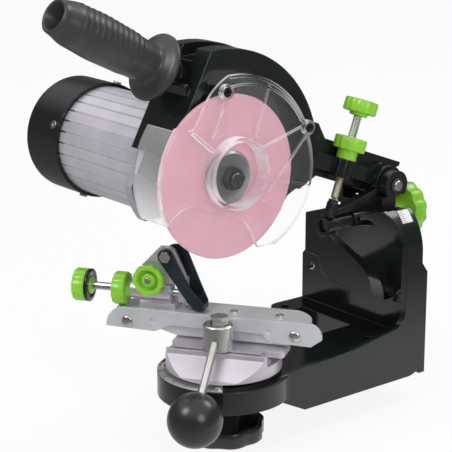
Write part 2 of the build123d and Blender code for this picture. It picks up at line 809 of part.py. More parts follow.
with BuildPart() as end_shield:
    with BuildSketch(on_axle(motor_rear_x - 6)):
        Circle(motor_r)
        Circle(shaft_r + 1, mode=Mode.SUBTRACT)
    extrude(amount=6)
    with BuildSketch(on_axle(motor_rear_x - 6)):
        Circle(21)
    extrude(amount=16)
    with BuildSketch(on_axle(rear_bearing_x)):
        Circle(16)
    extrude(amount=30, mode=Mode.SUBTRACT)
    with BuildSketch(on_axle(motor_rear_x - 6)):
        Circle(shaft_r + 1)
    extrude(amount=30, mode=Mode.SUBTRACT)
    for cap_screw_plane in cap_screw_planes:
        with BuildSketch(cap_screw_plane):
            Circle(2.0)
        extrude(amount=-10, mode=Mode.SUBTRACT)
save(end_shield, "end_shield")

stack_rear_x = -147.0
stack_front_x = -101.0
rotor_r = 27.5
with BuildPart() as stator_core:
    with BuildSketch(on_axle(stack_rear_x)):
        Circle(shell_inner_r)
        Circle(rotor_r + 0.5, mode=Mode.SUBTRACT)
        with PolarLocations(33.5, 18):
            Rectangle(7, 3.2, mode=Mode.SUBTRACT)
    extrude(amount=stack_front_x - stack_rear_x)
save(stator_core, "stator_core")
with BuildPart() as stator_windings:
    for coil_x in (stack_rear_x - 8.5, stack_front_x + 0.5):
        with BuildSketch(on_axle(coil_x)):
            Circle(41)
            Circle(29.5, mode=Mode.SUBTRACT)
        extrude(amount=8)
    fillet(stator_windings.edges(), 2.5)
save(stator_windings, "stator_windings")

with BuildPart() as motor_cap:
    with BuildSketch(on_axle(cap_end_x)):
        Circle(cap_r)
    extrude(amount=motor_rear_x + cap_lap - cap_end_x)
    fillet(motor_cap.faces().sort_by(Axis.X)[0].edges(), 6)
    with BuildSketch(on_axle(cap_end_x + cap_wall)):
        Circle(motor_r + 0.3)
    extrude(amount=80, mode=Mode.SUBTRACT)
    with BuildSketch(on_axle(cap_end_x)):
        with Locations((0, 22)):
            Rectangle(27.4, 21.4)
        with Locations((0, -26)):
            Circle(7.1)
    extrude(amount=10, mode=Mode.SUBTRACT)
    for cap_screw_plane in cap_screw_planes:
        with BuildSketch(cap_screw_plane):
            Circle(2.0)
        extrude(amount=-8, mode=Mode.SUBTRACT)
        with BuildSketch(cap_screw_plane):
            Circle(4.2)
        extrude(amount=3, mode=Mode.SUBTRACT)
save(motor_cap, "motor_cap")
cap_screws = screws(cap_screw_planes, 2.0, 9, 3.8, 2.4, 1.6)
save(cap_screws, "cap_screws")

with BuildPart() as capacitor:
    with BuildSketch(on_axle(cap_end_x + cap_wall)):
        with Locations((-28, -4)):
            Circle(13)
    extrude(amount=30)
save(capacitor, "capacitor")

with BuildPart() as switch_body:
    with BuildSketch(on_axle(cap_end_x - 1.5)):
        with Locations((0, 22)):
            Rectangle(31, 25)
            Rectangle(22, 16.5, mode=Mode.SUBTRACT)
    extrude(amount=1.5)
    with BuildSketch(on_axle(cap_end_x)):
        with Locations((0, 22)):
            Rectangle(27, 21)
            Rectangle(22, 16.5, mode=Mode.SUBTRACT)
    extrude(amount=24)
    with BuildSketch(on_axle(cap_end_x + 10)):
        with Locations((0, 22)):
            Rectangle(26, 20)
    extrude(amount=14)
save(switch_body, "switch_body")

rocker_x = cap_end_x + 4.0
with BuildPart() as switch_rocker:
    with BuildSketch(Plane(origin=(rocker_x, axle_y, axle_z + 22), x_dir=(-1, 0, 0), z_dir=(0, 1, 0))):
        with BuildLine():
            Polyline((-3, -6.6), (4.2, -7.2), (7.6, -5.4), (5.4, 0), (5.2, 7.2), (-3, 6.6), close=True)
        make_face()
    extrude(amount=10.8, both=True)
save(switch_rocker, "switch_rocker")

with BuildPart() as cable_gland:
    with BuildSketch(on_axle(cap_end_x - 12)):
        with Locations((0, -26)):
            Circle(7)
            Circle(3.6, mode=Mode.SUBTRACT)
    extrude(amount=24)
    with BuildSketch(on_axle(cap_end_x - 6)):
        with Locations((0, -26)):
            Circle(9.5)
            Circle(3.6, mode=Mode.SUBTRACT)
    extrude(amount=6)
    with BuildSketch(on_axle(cap_end_x + cap_wall)):
        with Locations((0, -26)):
            Circle(9)
            Circle(3.6, mode=Mode.SUBTRACT)
    extrude(amount=4)
save(cable_gland, "cable_gland")

# ------------------------------------------------------------------ spindle
wheel_back_x = wheel_face_x - wheel_w
thread_end_x = 15.0
with BuildPart() as rotor_shaft:
    with BuildSketch(on_axle(motor_rear_x - 5)):
        Circle(shaft_r - 0.01)
    extrude(amount=plate_front_x + 0.2 - motor_rear_x + 5)
    with BuildSketch(on_axle(plate_front_x)):
        Circle(6)
    extrude(amount=thread_end_x - plate_front_x)
    chamfer(rotor_shaft.faces().sort_by(Axis.X)[-1].edges(), 1)
save(rotor_shaft, "rotor_shaft")
with BuildPart() as rotor_core:
    with BuildSketch(on_axle(stack_rear_x)):
        Circle(rotor_r)
        Circle(shaft_r, mode=Mode.SUBTRACT)
    extrude(amount=stack_front_x - stack_rear_x)
    for end_x in (stack_rear_x - 5, stack_front_x):
        with BuildSketch(on_axle(end_x)):
            Circle(rotor_r - 2)
            Circle(rotor_r - 8, mode=Mode.SUBTRACT)
        extrude(amount=5)
save(rotor_core, "rotor_core")
with BuildPart() as inner_flange:
    with BuildSketch(on_axle(plate_front_x + 0.2)):
        Circle(24)
        Circle(6, mode=Mode.SUBTRACT)
    extrude(amount=wheel_back_x - plate_front_x - 0.2)
    with BuildSketch(on_axle(wheel_back_x)):
        Circle(wheel_bore_r - run_gap)
        Circle(6, mode=Mode.SUBTRACT)
    extrude(amount=wheel_w - 0.4)
save(inner_flange, "inner_flange")
with BuildPart() as grinding_wheel:
    with BuildSketch(on_axle(wheel_back_x)):
        Circle(wheel_r)
        Circle(wheel_bore_r, mode=Mode.SUBTRACT)
    extrude(amount=wheel_w)
    fillet(grinding_wheel.edges().filter_by(GeomType.CIRCLE).group_by(SortBy.RADIUS)[-1], 1.2)
save(grinding_wheel, "grinding_wheel")
with BuildPart() as outer_flange:
    with BuildSketch(on_axle(wheel_face_x)):
        Circle(24)
        Circle(6, mode=Mode.SUBTRACT)
    extrude(amount=4)
    flange_front = outer_flange.faces().sort_by(Axis.X)[-1]
    chamfer(flange_front.edges().filter_by(GeomType.CIRCLE).sort_by(SortBy.RADIUS)[-1], 2.5)
save(outer_flange, "outer_flange")
with BuildPart() as spindle_nut:
    with BuildSketch(on_axle(wheel_face_x + 4)):
        RegularPolygon(10.4, 6)
        Circle(6, mode=Mode.SUBTRACT)
    extrude(amount=7)
save(spindle_nut, "spindle_nut")

# ------------------------------------------------------------------ clear guard
guard_x = 5.2
guard_t = 3.0
guard_boss_h = 8.0
skirt_rear_x = -30.0
with BuildPart() as clear_guard:
    with BuildSketch(on_axle(guard_x)):
        with BuildLine():
            ThreePointArc(rim_point(82, -55), rim_point(90, -20), rim_point(90.5, 15))
            ThreePointArc(rim_point(90.5, 15), rim_point(91, 55), rim_point(90, 92))
            Spline(rim_point(90, 92), (-15, 83), (-24, 75))
            Polyline((-24, 75), (-41, 48), (-47, 47.5), (-60, 52))
            ThreePointArc((-60, 52), rim_point(78, 172), rim_point(77, 204))
            Spline(
                rim_point(77, 204), (-57, -21), (-47, -18), (-20, -27), (2, -34), (14, -41), (22, -52),
                (29, -67),
            )
            Line((29, -67), rim_point(82, -55))
        make_face()
    extrude(amount=guard_t)
    # window ring in front of the spindle nut
    with BuildSketch(on_axle(guard_x)):
        with Locations((2, 5)):
            Circle(32)
    extrude(amount=13)
    with BuildSketch(on_axle(guard_x - 1)):
        with Locations((2, 5)):
            Circle(28)
    extrude(amount=20, mode=Mode.SUBTRACT)
    # rim lip round the outside
    with BuildSketch(on_axle(guard_x + guard_t)):
        with BuildLine():
            ThreePointArc(rim_point(82, -55), rim_point(90, -20), rim_point(90.5, 15))
            ThreePointArc(rim_point(90.5, 15), rim_point(91, 55), rim_point(90, 92))
            Line(rim_point(90, 92), rim_point(87.5, 92))
            ThreePointArc(rim_point(87.5, 92), rim_point(88.5, 55), rim_point(88, 15))
            ThreePointArc(rim_point(88, 15), rim_point(87.5, -20), rim_point(79.5, -55))
            Line(rim_point(79.5, -55), rim_point(82, -55))
        make_face()
    extrude(amount=2.0)
    # side skirt
    with BuildSketch(on_axle(skirt_rear_x)):
        with BuildLine():
            ThreePointArc(rim_point(79, 141), rim_point(78, 172), rim_point(77, 204))
            Line(rim_point(77, 204), rim_point(74.4, 204))
            ThreePointArc(rim_point(74.4, 204), rim_point(75.4, 172), rim_point(76.4, 141))
            Line(rim_point(76.4, 141), rim_point(79, 141))
        make_face()
    extrude(amount=guard_x + guard_t - skirt_rear_x)
    # stiffening ribs
    ribs = (
        ((-10, 67), (-23, 37)),
        ((41, 79), (25, 34)),
        ((80, 36), (30, 22)),
        ((84, 27), (40, -18)),
        ((86, -19), (32, -5)),
        ((64, -42), (26, -20)),
    )
    for rib_start, rib_end in ribs:
        with BuildSketch(on_axle(guard_x + guard_t)):
            with BuildLine():
                Line(rib_start, rib_end)
            trace(line_width=1.6)
        extrude(amount=2.2)
    with BuildSketch(on_axle(guard_x + guard_t)):
        with BuildLine():
            ThreePointArc((-4, 80), (52, 68), (78, 40))
        trace(line_width=1.6)
    extrude(amount=2.2)
    with BuildSketch(on_axle(guard_x + guard_t)):
        with BuildLine():
            Line((-45, 46), (-24, 28))
        trace(line_width=3)
    extrude(amount=6)
    # screw bosses
    for boss_spot in guard_screw_spots:
        with BuildSketch(on_axle(guard_x)):
            with Locations(boss_spot):
                Circle(6.5)
        extrude(amount=guard_boss_h)
        with BuildSketch(on_axle(guard_x - 1)):
            with Locations(boss_spot):
                Circle(2.3)
        extrude(amount=20, mode=Mode.SUBTRACT)
        with BuildSketch(on_axle(guard_x + guard_boss_h / 2)):
            with Locations(boss_spot):
                Circle(4.6)
        extrude(amount=20, mode=Mode.SUBTRACT)
save(clear_guard, "clear_guard")
guard_screw_planes = []
for boss_dy, boss_dz in guard_screw_spots:
    guard_screw_planes.append(across(guard_x + guard_boss_h / 2, axle_y + boss_dy, axle_z + boss_dz))
guard_screws = screws(guard_screw_planes, 2.0, 18, 4.2, 4, 2.0)
save(guard_screws, "guard_screws")

# ------------------------------------------------------------------ swivel under the vise
disc_r = 51.9
disc_bottom = 42.5
disc_top = 53.0
rim_top = 43.6
rim_lip = 6.4
apron_top = 58.5
cradle_top = 62.6
cradle_back = 27.0
cradle_end = 46.0
stud_r = 6.0
scale_inside_r = 44.0
swivel_foot_r = 31.0
with BuildPart() as swivel_base:
    # block with an apron that slopes to the flat lip of the rim, cut to the round disc
    with BuildSketch(vise_end(-disc_r)):
        with BuildLine():
            Polyline(
                (-disc_r, disc_bottom), (-disc_r, rim_top), (rim_lip - disc_r, rim_top),
                (-cradle_back, apron_top), (-cradle_back, cradle_top), (cradle_back, cradle_top),
                (cradle_back, disc_top), (disc_r, disc_top), (disc_r, disc_bottom),
                close=True,
            )
        make_face()
    extrude(amount=2 * disc_r)
    with BuildSketch(vise_top(disc_bottom)):
        Circle(disc_r)
    extrude(amount=30, mode=Mode.INTERSECT)
    # the cradle ends short of the rim
    for end_along in (-disc_r - 10, cradle_end):
        with BuildSketch(vise_end(end_along)):
            with Locations((0, disc_top + 15)):
                Rectangle(2 * disc_r, 30)
        extrude(amount=disc_r + 10 - cradle_end, mode=Mode.SUBTRACT)
    # steps down to the ring, inside the graduated quadrant's screws
    with BuildSketch(vise_top(ring_top + scale_t + face_gap)):
        Circle(scale_inside_r)
    extrude(amount=disc_bottom - ring_top - scale_t - face_gap)
    with BuildSketch(vise_top(ring_top + face_gap)):
        Circle(swivel_foot_r)
    extrude(amount=4)
    with BuildSketch(vise_end(-disc_r - 5, 0, chain_z)):
        Circle(cradle_r)
    extrude(amount=2 * disc_r + 10, mode=Mode.SUBTRACT)
    with BuildSketch(vise_top(ring_top)):
        Circle(stud_r)
    extrude(amount=30, mode=Mode.SUBTRACT)
save(swivel_base, "swivel_base")
stud_bottom = -9.0
cradle_floor = chain_z - cradle_r
swivel_stud = ring_solid(vise_top(stud_bottom), stud_r, 0, cradle_floor - 1.5 - stud_bottom)
save(swivel_stud, "swivel_stud")

knob_seat = ring_bottom + 11.5
hand_knob_top = -10.0
hand_knob_h = 15.5
hand_knob_hub_r = 14.0
hand_knob_r = 37.0
hand_knob_cup_r = 32.6
with BuildPart() as hand_knob:
    knob_plane = Plane(origin=(0, turn_y, knob_seat - face_gap), x_dir=(1, 0, 0), z_dir=(0, 0, -1))
    knob_hub_h = knob_seat - face_gap - hand_knob_top
    add(lobed_knob(knob_plane, hand_knob_r, hand_knob_h, stud_r + run_gap, hand_knob_hub_r, knob_hub_h, 8).part)
    # the head is an open cup round the hub
    with BuildSketch(knob_plane.offset(knob_hub_h)):
        Circle(hand_knob_cup_r)
        Circle(hand_knob_hub_r, mode=Mode.SUBTRACT)
    extrude(amount=hand_knob_h - 4, mode=Mode.SUBTRACT)
save(hand_knob, "hand_knob")

# ------------------------------------------------------------------ chain vise
jaw_t = 3.0
jaw_top = chain_z + 1.0
deck_top = 64.0
flange_low = 84.5
jaw_screw_alongs = (-36, 6, 48)
jaw_screw_back = 12.0
jaw_screw_r = 2.0
jaw_pin_spots = ((-89.0, 76.5), (65.6, 76.5))
jaw_pin_r = 2.5
front_back = -jaw_gap
cam_pivot = front_back - jaw_t - run_gap + cam_throw - cam_r
cam_bolt_bottom = deck_top - 3.5
with BuildPart() as vise_body:
    # round underside that rocks in the cradle
    with BuildSketch(vise_end(-40, 0, chain_z)):
        Circle(cradle_r - 0.3)
        with Locations((0, deck_top - chain_z + 40)):
            Rectangle(90, 80, mode=Mode.SUBTRACT)
    extrude(amount=80)
    with BuildSketch(vise_top(58.4)):
        with Locations((6.5, 1)):
            RectangleRounded(103, 30, 5)
    extrude(amount=deck_top - 58.4)
    with BuildSketch(vise_top(deck_top)):
        with Locations((6.5, 12)):
            RectangleRounded(103, 16, 3)
    extrude(amount=flange_low - deck_top)
    with BuildSketch(vise_top(cam_bolt_bottom, 0, cam_pivot)):
        Circle(5)
    extrude(amount=20, mode=Mode.SUBTRACT)
    for screw_along in jaw_screw_alongs:
        with BuildSketch(vise_top(flange_low - 10, screw_along, jaw_screw_back)):
            Circle(jaw_screw_r)
        extrude(amount=20, mode=Mode.SUBTRACT)
save(vise_body, "vise_body")

base_bolt_along = -58.0
base_bolt_back = 24.0
with BuildPart() as rear_jaw:
    with BuildSketch(vise_top(flange_low)):
        with BuildLine():
            Polyline((-100, 0), (78, 0))
            ThreePointArc((78, 0), (74, 20), (60, 33))
            Polyline((60, 33), (-84, 33), (-100, 20), (-100, 0))
        make_face()
    extrude(amount=chain_z - flange_low)
    with BuildSketch(vise_front(4)):
        with BuildLine():
            Polyline(
                (-98, 86), (-98, 71), (-62, 71), (-45, 66), (58, 66), (62, 70), (76, 70), (76, 86), close=True
            )
        make_face()
    extrude(amount=4)
    with BuildSketch(vise_top(flange_low - 1)):
        for screw_along in jaw_screw_alongs:
            with Locations((screw_along, jaw_screw_back)):
                Circle(jaw_screw_r)
        with Locations((base_bolt_along, base_bolt_back)):
            Circle(2.5)
    extrude(amount=10, mode=Mode.SUBTRACT)
    with BuildSketch(vise_front(5)):
        with Locations(*jaw_pin_spots):
            Circle(jaw_pin_r)
    extrude(amount=10, mode=Mode.SUBTRACT)
save(rear_jaw, "rear_jaw")
jaw_screw_planes = [vise_top(chain_z, screw_along, jaw_screw_back) for screw_along in jaw_screw_alongs]
jaw_screws = screws(jaw_screw_planes, jaw_screw_r, 9, 3.6, 1.6, 1.3)
save(jaw_screws, "jaw_screws")

with BuildPart() as front_jaw:
    with BuildSketch(vise_front(front_back)):
        with BuildLine():
            Line((80, jaw_top), (-93, jaw_top))
            ThreePointArc((-93, jaw_top), (-104.6, 83.4), (-109, 70.4))
            Polyline((-109, 70.4), (-63, 69), (-49, 76), (36, 76), (43, 69), (80, 68), (89.5, 75))
            ThreePointArc((89.5, 75), (87.8, 83.6), (80, jaw_top))
        make_face()
        with Locations(*jaw_pin_spots):
            Circle(jaw_pin_r + run_gap, mode=Mode.SUBTRACT)
    extrude(amount=jaw_t)
    with BuildSketch(vise_front(front_back - jaw_t)):
        with Locations((-65, 79), (42, 79)):
            Circle(2.6)
    extrude(amount=-1, mode=Mode.SUBTRACT)
save(front_jaw, "front_jaw")
jaw_pin_planes = []
for pin_along, pin_z in jaw_pin_spots:
    jaw_pin_planes.append(vise_front(front_back - jaw_t - face_gap, pin_along, pin_z))
jaw_pins = screws(jaw_pin_planes, jaw_pin_r, 8.5, 5.2, 3.0, 2.2)
save(jaw_pins, "jaw_pins")

# cam, its shoulder bolt and the ball lever
cam_bottom = deck_top + 0.2
cam_top = 87.0
with BuildPart() as cam_bolt:
    with BuildSketch(vise_top(cam_bolt_bottom, 0, cam_pivot)):
        Circle(5)
    extrude(amount=cam_top + 0.2 - cam_bolt_bottom)
    with BuildSketch(vise_top(cam_top + 0.2, 0, cam_pivot)):
        RegularPolygon(8.6, 6)
    extrude(amount=5.5)
save(cam_bolt, "cam_bolt")
lever_start = Vector(*vise_point(0, cam_pivot - 6), 79.0)
lever_end = Vector(*vise_point(0, -88), 24.0)
lever_way = (lever_end - lever_start).normalized()
lever_length = (lever_end - lever_start).length
ball_r = 24.0
lever_r = 3.8
with BuildPart() as cam_drum:
    with BuildSketch(vise_top(cam_bottom, 0, cam_pivot - cam_throw)):
        Circle(cam_r)
    extrude(amount=cam_top - cam_bottom)
    chamfer(cam_drum.edges().sort_by(Axis.Z)[-1], 1.2)
    with BuildSketch(vise_top(cam_bottom, 0, cam_pivot)):
        Circle(5 + run_gap)
    extrude(amount=40, mode=Mode.SUBTRACT)
    with BuildSketch(Plane(origin=lever_start, z_dir=lever_way)):
        Circle(lever_r)
    extrude(amount=60, mode=Mode.SUBTRACT)
save(cam_drum, "cam_drum")
with BuildPart() as lever_rod:
    with BuildSketch(Plane(origin=lever_start + lever_way * 2.2, z_dir=lever_way)):
        Circle(lever_r)
    extrude(amount=lever_length - 7.2)
save(lever_rod, "lever_rod")
with BuildPart() as ball_knob:
    with BuildSketch(Plane(origin=lever_end, x_dir=lever_way, z_dir=(rail_cos, rail_sin, 0))):
        with BuildLine():
            Line((-ball_r, 0), (ball_r, 0))
            ThreePointArc((ball_r, 0), (0, ball_r), (-ball_r, 0))
        make_face()
    revolve(axis=Axis(lever_end, lever_way))
    with BuildSketch(Plane(origin=lever_start, z_dir=lever_way)):
        Circle(lever_r)
    extrude(amount=lever_length - 5, mode=Mode.SUBTRACT)
save(ball_knob, "ball_knob")

# ------------------------------------------------------------------ chain stop
rod_back = 8.0
rod_z = 103.0
rod_r = 3.5
tube_left = -88.0
tube_right = -50.0
with BuildPart() as chain_stop_base:
    with BuildSketch(vise_end(tube_left, rod_back, rod_z)):
        Circle(8)
    extrude(amount=tube_right - tube_left)
    with BuildSketch(vise_end(-80, rod_back, rod_z)):
        with Locations((0, -11)):
            Rectangle(10, 8)
    extrude(amount=tube_right + 80)
    with BuildSketch(vise_top(chain_z)):
        with Locations((-63, 16)):
            RectangleRounded(34, 28, 3)
    extrude(amount=6)
    with BuildSketch(vise_end(tube_left - 1, rod_back, rod_z)):
        Circle(rod_r + run_gap)
    extrude(amount=60, mode=Mode.SUBTRACT)
    with BuildSketch(vise_top(chain_z, base_bolt_along, base_bolt_back)):
        Circle(2.5)
    extrude(amount=10, mode=Mode.SUBTRACT)
save(chain_stop_base, "chain_stop_base")
with BuildPart() as stop_base_bolt:
    with BuildSketch(vise_top(chain_z - 20, base_bolt_along, base_bolt_back)):
        Circle(2.5)
    extrude(amount=26)
    with BuildSketch(vise_top(chain_z + 6, base_bolt_along, base_bolt_back)):
        RegularPolygon(4.6, 6)
    extrude(amount=3.6)
    with BuildSketch(vise_top(flange_low - 4.1, base_bolt_along, base_bolt_back)):
        RegularPolygon(4.6, 6)
    extrude(amount=4)
save(stop_base_bolt, "stop_base_bolt")

guide_rod = ring_solid(vise_end(-143, rod_back, rod_z), rod_r, 0, 143 - 36)
save(guide_rod, "guide_rod")


def facing_left(along):
    """Plane square to the guide rod that extrudes away from the vise."""
    x, y = vise_point(along, rod_back)
    return Plane(origin=(x, y, rod_z), x_dir=(0, 0, 1), z_dir=(-rail_cos, -rail_sin, 0))


with BuildPart() as rod_knob:
    add(lobed_knob(facing_left(-126), 15.0, 12.0, 0, 8.0, 4.0).part)
    with BuildSketch(facing_left(-120)):
        Circle(rod_r)
    extrude(amount=23, mode=Mode.SUBTRACT)
save(rod_knob, "rod_knob")
with BuildPart() as rod_lock_knob:
    add(lobed_knob(facing_left(tube_left - face_gap), 15.0, 12.0, 0, 8.0, 4.0).part)
    with BuildSketch(facing_left(tube_left)):
        Circle(rod_r + run_gap)
    extrude(amount=60, mode=Mode.SUBTRACT)
save(rod_lock_knob, "rod_lock_knob")

plate_back = 8.0
plate_front = 4.0
clamp_along = -68.0
clamp_z = 117.0
pawl_along = -54.0
pawl_z = 138.0
pawl_bolt_r = 2.5
pawl_front = 3.6
pawl_rear = 16.6
with BuildPart() as stop_carrier:
    with BuildSketch(vise_front(plate_back)):
        with BuildLine():
            Polyline(
                (-77, 112), (-36, 112), (-36, 120), (-46, 143), (-50, 146), (-60, 146), (-77, 128), close=True
            )
        make_face()
        with Locations((clamp_along, clamp_z)):
            Circle(3 + run_gap, mode=Mode.SUBTRACT)
        with Locations((pawl_along, pawl_z)):
            Circle(pawl_bolt_r, mode=Mode.SUBTRACT)
    extrude(amount=plate_back - plate_front)
    with BuildSketch(vise_front(14)):
        with Locations((-39.7, 107)):
            Rectangle(7.4, 22)
    extrude(amount=14 - pawl_front - 0.2)
    with BuildSketch(vise_end(-50, rod_back, rod_z)):
        Circle(rod_r)
    extrude(amount=30, mode=Mode.SUBTRACT)
save(stop_carrier, "stop_carrier")

with BuildPart() as clamp_knob:
    add(lobed_knob(vise_front(plate_front - face_gap, clamp_along, clamp_z), 14.5, 7.6, 0, 6.5, 5.4).part)
    with BuildSketch(vise_front(plate_back + 1, clamp_along, clamp_z)):
        Circle(3)
    extrude(amount=6)
save(clamp_knob, "clamp_knob")

with BuildPart() as pawl:
    # folded strap: a front leg and a rear leg that meet in the tip
    with BuildSketch(vise_front(pawl_front)):
        with BuildLine():
            Polyline((-60.4, 134), (-34, 97), (-27, 90.2), (-19, 90.2), (-19, 96), (-33, 112), (-47.5, 139.5))
            ThreePointArc((-47.5, 139.5), (-56.6, 144), (-60.4, 134))
        make_face()
    extrude(amount=3)
    with BuildSketch(vise_front(pawl_rear)):
        with BuildLine():
            Polyline((-60.4, 134), (-40, 105), (-29, 90.2), (-19, 90.2), (-19, 96), (-26, 112), (-38, 141))
            ThreePointArc((-38, 141), (-52, 145.5), (-60.4, 134))
        make_face()
    extrude(amount=2)
    with BuildSketch(vise_front(pawl_rear)):
        with BuildLine():
            Polyline((-29, 90.2), (-19, 90.2), (-19, 96), (-23, 103), (-29, 98), close=True)
        make_face()
    extrude(amount=pawl_rear - pawl_front + 3)
    with BuildSketch(vise_front(pawl_rear + 1)):
        with Locations((pawl_along, pawl_z)):
            Circle(pawl_bolt_r + run_gap)
    extrude(amount=30, mode=Mode.SUBTRACT)
save(pawl, "pawl")
with BuildPart() as pawl_bolt:
    with BuildSketch(vise_front(pawl_rear + 4.5, pawl_along, pawl_z)):
        Circle(pawl_bolt_r)
    extrude(amount=pawl_rear + 4.0)
    with BuildSketch(vise_front(0.5, pawl_along, pawl_z)):
        RegularPolygon(5.4, 6)
    extrude(amount=3.2)
    with BuildSketch(vise_front(pawl_rear + 3.6, pawl_along, pawl_z)):
        RegularPolygon(5.4, 6)
    extrude(amount=3.5)
save(pawl_bolt, "pawl_bolt")
with BuildPart() as pawl_spring:
    with BuildSketch(vise_front(pawl_rear - 2 - face_gap, pawl_along, pawl_z)):
        Circle(4.6)
        Circle(3.4, mode=Mode.SUBTRACT)
    extrude(amount=pawl_rear - 2 - plate_back - 2 * face_gap)
save(pawl_spring, "pawl_spring")
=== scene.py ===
# %% [markdown]
# # A saw chain sharpener, dressed for its picture
#
# The model comes from CAD as fixed pieces. This lesson gives each piece the finish of the real machine,
# adds the fine forms that a drawing leaves out, and sets up a plain studio around it.

# %% Load the fixed model
import math
import random

import bmesh
import bpy
from mathutils import Matrix, Vector


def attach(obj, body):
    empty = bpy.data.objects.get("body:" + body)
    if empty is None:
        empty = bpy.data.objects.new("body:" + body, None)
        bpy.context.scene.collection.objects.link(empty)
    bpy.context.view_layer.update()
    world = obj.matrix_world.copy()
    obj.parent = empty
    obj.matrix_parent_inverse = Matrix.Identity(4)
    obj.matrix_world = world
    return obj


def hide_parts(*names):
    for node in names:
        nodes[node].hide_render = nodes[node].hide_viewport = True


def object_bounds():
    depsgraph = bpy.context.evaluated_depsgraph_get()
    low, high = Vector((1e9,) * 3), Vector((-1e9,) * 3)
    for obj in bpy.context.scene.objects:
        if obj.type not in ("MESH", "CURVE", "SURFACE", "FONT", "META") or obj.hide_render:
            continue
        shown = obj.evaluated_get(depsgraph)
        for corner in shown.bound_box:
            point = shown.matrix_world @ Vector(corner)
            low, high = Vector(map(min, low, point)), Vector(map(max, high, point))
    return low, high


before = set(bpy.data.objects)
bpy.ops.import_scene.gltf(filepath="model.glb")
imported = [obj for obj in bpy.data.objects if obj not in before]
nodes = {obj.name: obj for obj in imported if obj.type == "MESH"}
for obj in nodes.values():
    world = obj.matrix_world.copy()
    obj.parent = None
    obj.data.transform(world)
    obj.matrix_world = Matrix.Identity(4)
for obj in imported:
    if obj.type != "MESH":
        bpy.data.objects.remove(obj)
cad_low, cad_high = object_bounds()
random.seed(7)
print("pieces from CAD:", len(nodes))

# %% [markdown]
# ## The machine's own places
#
# Lengths are in metres. X runs along the wheel's axle, Y points at the wall and Z is up. The rod of the chain
# stop, the seat of its clamp knob and the depth screw are given as `on_vise` and `on_arm` take them.

# %% Places on the machine
AXLE = Vector((0.0, -0.204, 0.2144))
HINGE = Vector((0.0, -0.014, 0.1795))
ARM_SLOPE = math.radians(20.7)
TURNTABLE = Vector((0.0, -0.207, 0.0385))
RAILS_TURN = math.radians(35.0)
RAIL = Vector((math.cos(RAILS_TURN), math.sin(RAILS_TURN), 0.0))
BACK = Vector((-math.sin(RAILS_TURN), math.cos(RAILS_TURN), 0.0))
ROD_LINE = (8.0, 103.0)
CLAMP_SEAT = (-68.0, 3.9, 117.0)
STOP_LINE = (5.5, -62.0)
STOP_UP = Vector((0.0, math.sin(ARM_SLOPE), math.cos(ARM_SLOPE)))


def on_vise(along, back, z):
    """A point given in millimetres along the rails, behind the jaw line and above the bench."""
    return Vector((0.0, TURNTABLE.y, z / 1000)) + RAIL * (along / 1000) + BACK * (back / 1000)


def on_arm(x, along, up):
    """A point given in millimetres along the arm from the hinge and square to it."""
    y = along * math.cos(ARM_SLOPE) + up * math.sin(ARM_SLOPE)
    z = -along * math.sin(ARM_SLOPE) + up * math.cos(ARM_SLOPE)
    return HINGE + Vector((x / 1000, y / 1000, z / 1000))


# %% [markdown]
# ## Camera
#
# A long lens from the front right, a little above the machine, keeps the upright lines nearly parallel. Its
# length is given in units of which the frame is 452 wide.

# %% Camera
AZIMUTH = math.radians(51.0)
RISE = math.radians(15.8)
FOCAL_LENGTH = 1600.0
FRAME_WIDTH = 452.0
lens = bpy.data.cameras.new("camera")
lens.sensor_width = 36.0
lens.lens = FOCAL_LENGTH / FRAME_WIDTH * lens.sensor_width
lens.clip_end = 20.0
camera = bpy.data.objects.new("camera", lens)
bpy.context.collection.objects.link(camera)
backwards = Vector((math.sin(AZIMUTH) * math.cos(RISE), -math.cos(AZIMUTH) * math.cos(RISE), math.sin(RISE)))
camera.location = (1.0427, -1.0489, 0.5499)
camera.rotation_euler = backwards.to_track_quat("Z", "Y").to_euler()
bpy.context.scene.camera = camera
bpy.context.scene.view_settings.view_transform = "Standard"
print("camera at", tuple(camera.location))

# %% [markdown]
# ## Building materials out of nodes
#
# Every finish starts from the same shader. Helpers add a node or a link, so that each finish reads as a
# short recipe: what gives its colour, what gives its gloss, and what gives its grain.


# %% Material helpers
def new_finish(name, colour, rough, metal=0.0, **extra):
    """A material with a Principled shader, and the constants that are the same all over."""
    made = bpy.data.materials.new(name)
    made.use_nodes = True
    tree = made.node_tree
    shader = tree.nodes["Principled BSDF"]
    shader.inputs["Base Color"].default_value = (*colour, 1.0)
    shader.inputs["Roughness"].default_value = rough
    shader.inputs["Metallic"].default_value = metal
    for socket, value in extra.items():
        shader.inputs[socket.replace("_", " ")].default_value = value
    return made, tree, shader


def object_coords(tree, stretch=(1.0, 1.0, 1.0)):
    """Object coordinates through a Mapping node that can stretch the pattern."""
    coords = tree.nodes.new("ShaderNodeTexCoord")
    mapping = tree.nodes.new("ShaderNodeMapping")
    mapping.inputs["Scale"].default_value = stretch
    tree.links.new(coords.outputs["Object"], mapping.inputs["Vector"])
    return mapping.outputs["Vector"]


def noise(tree, vector, scale, detail=3.0, rough=0.55):
    node = tree.nodes.new("ShaderNodeTexNoise")
    node.inputs["Scale"].default_value = scale
    node.inputs["Detail"].default_value = detail
    node.inputs["Roughness"].default_value = rough
    tree.links.new(vector, node.inputs["Vector"])
    return node.outputs["Fac"]


def ramp(tree, value, *stops):
    """A colour ramp: each stop is a place from 0 to 1 and a colour."""
    node = tree.nodes.new("ShaderNodeValToRGB")
    while len(node.color_ramp.elements) < len(stops):
        node.color_ramp.elements.new(0.5)
    for element, (place, colour) in zip(node.color_ramp.elements, stops):
        element.position = place
        element.color = (*colour, 1.0)
    tree.links.new(value, node.inputs["Fac"])
    return node.outputs["Color"]


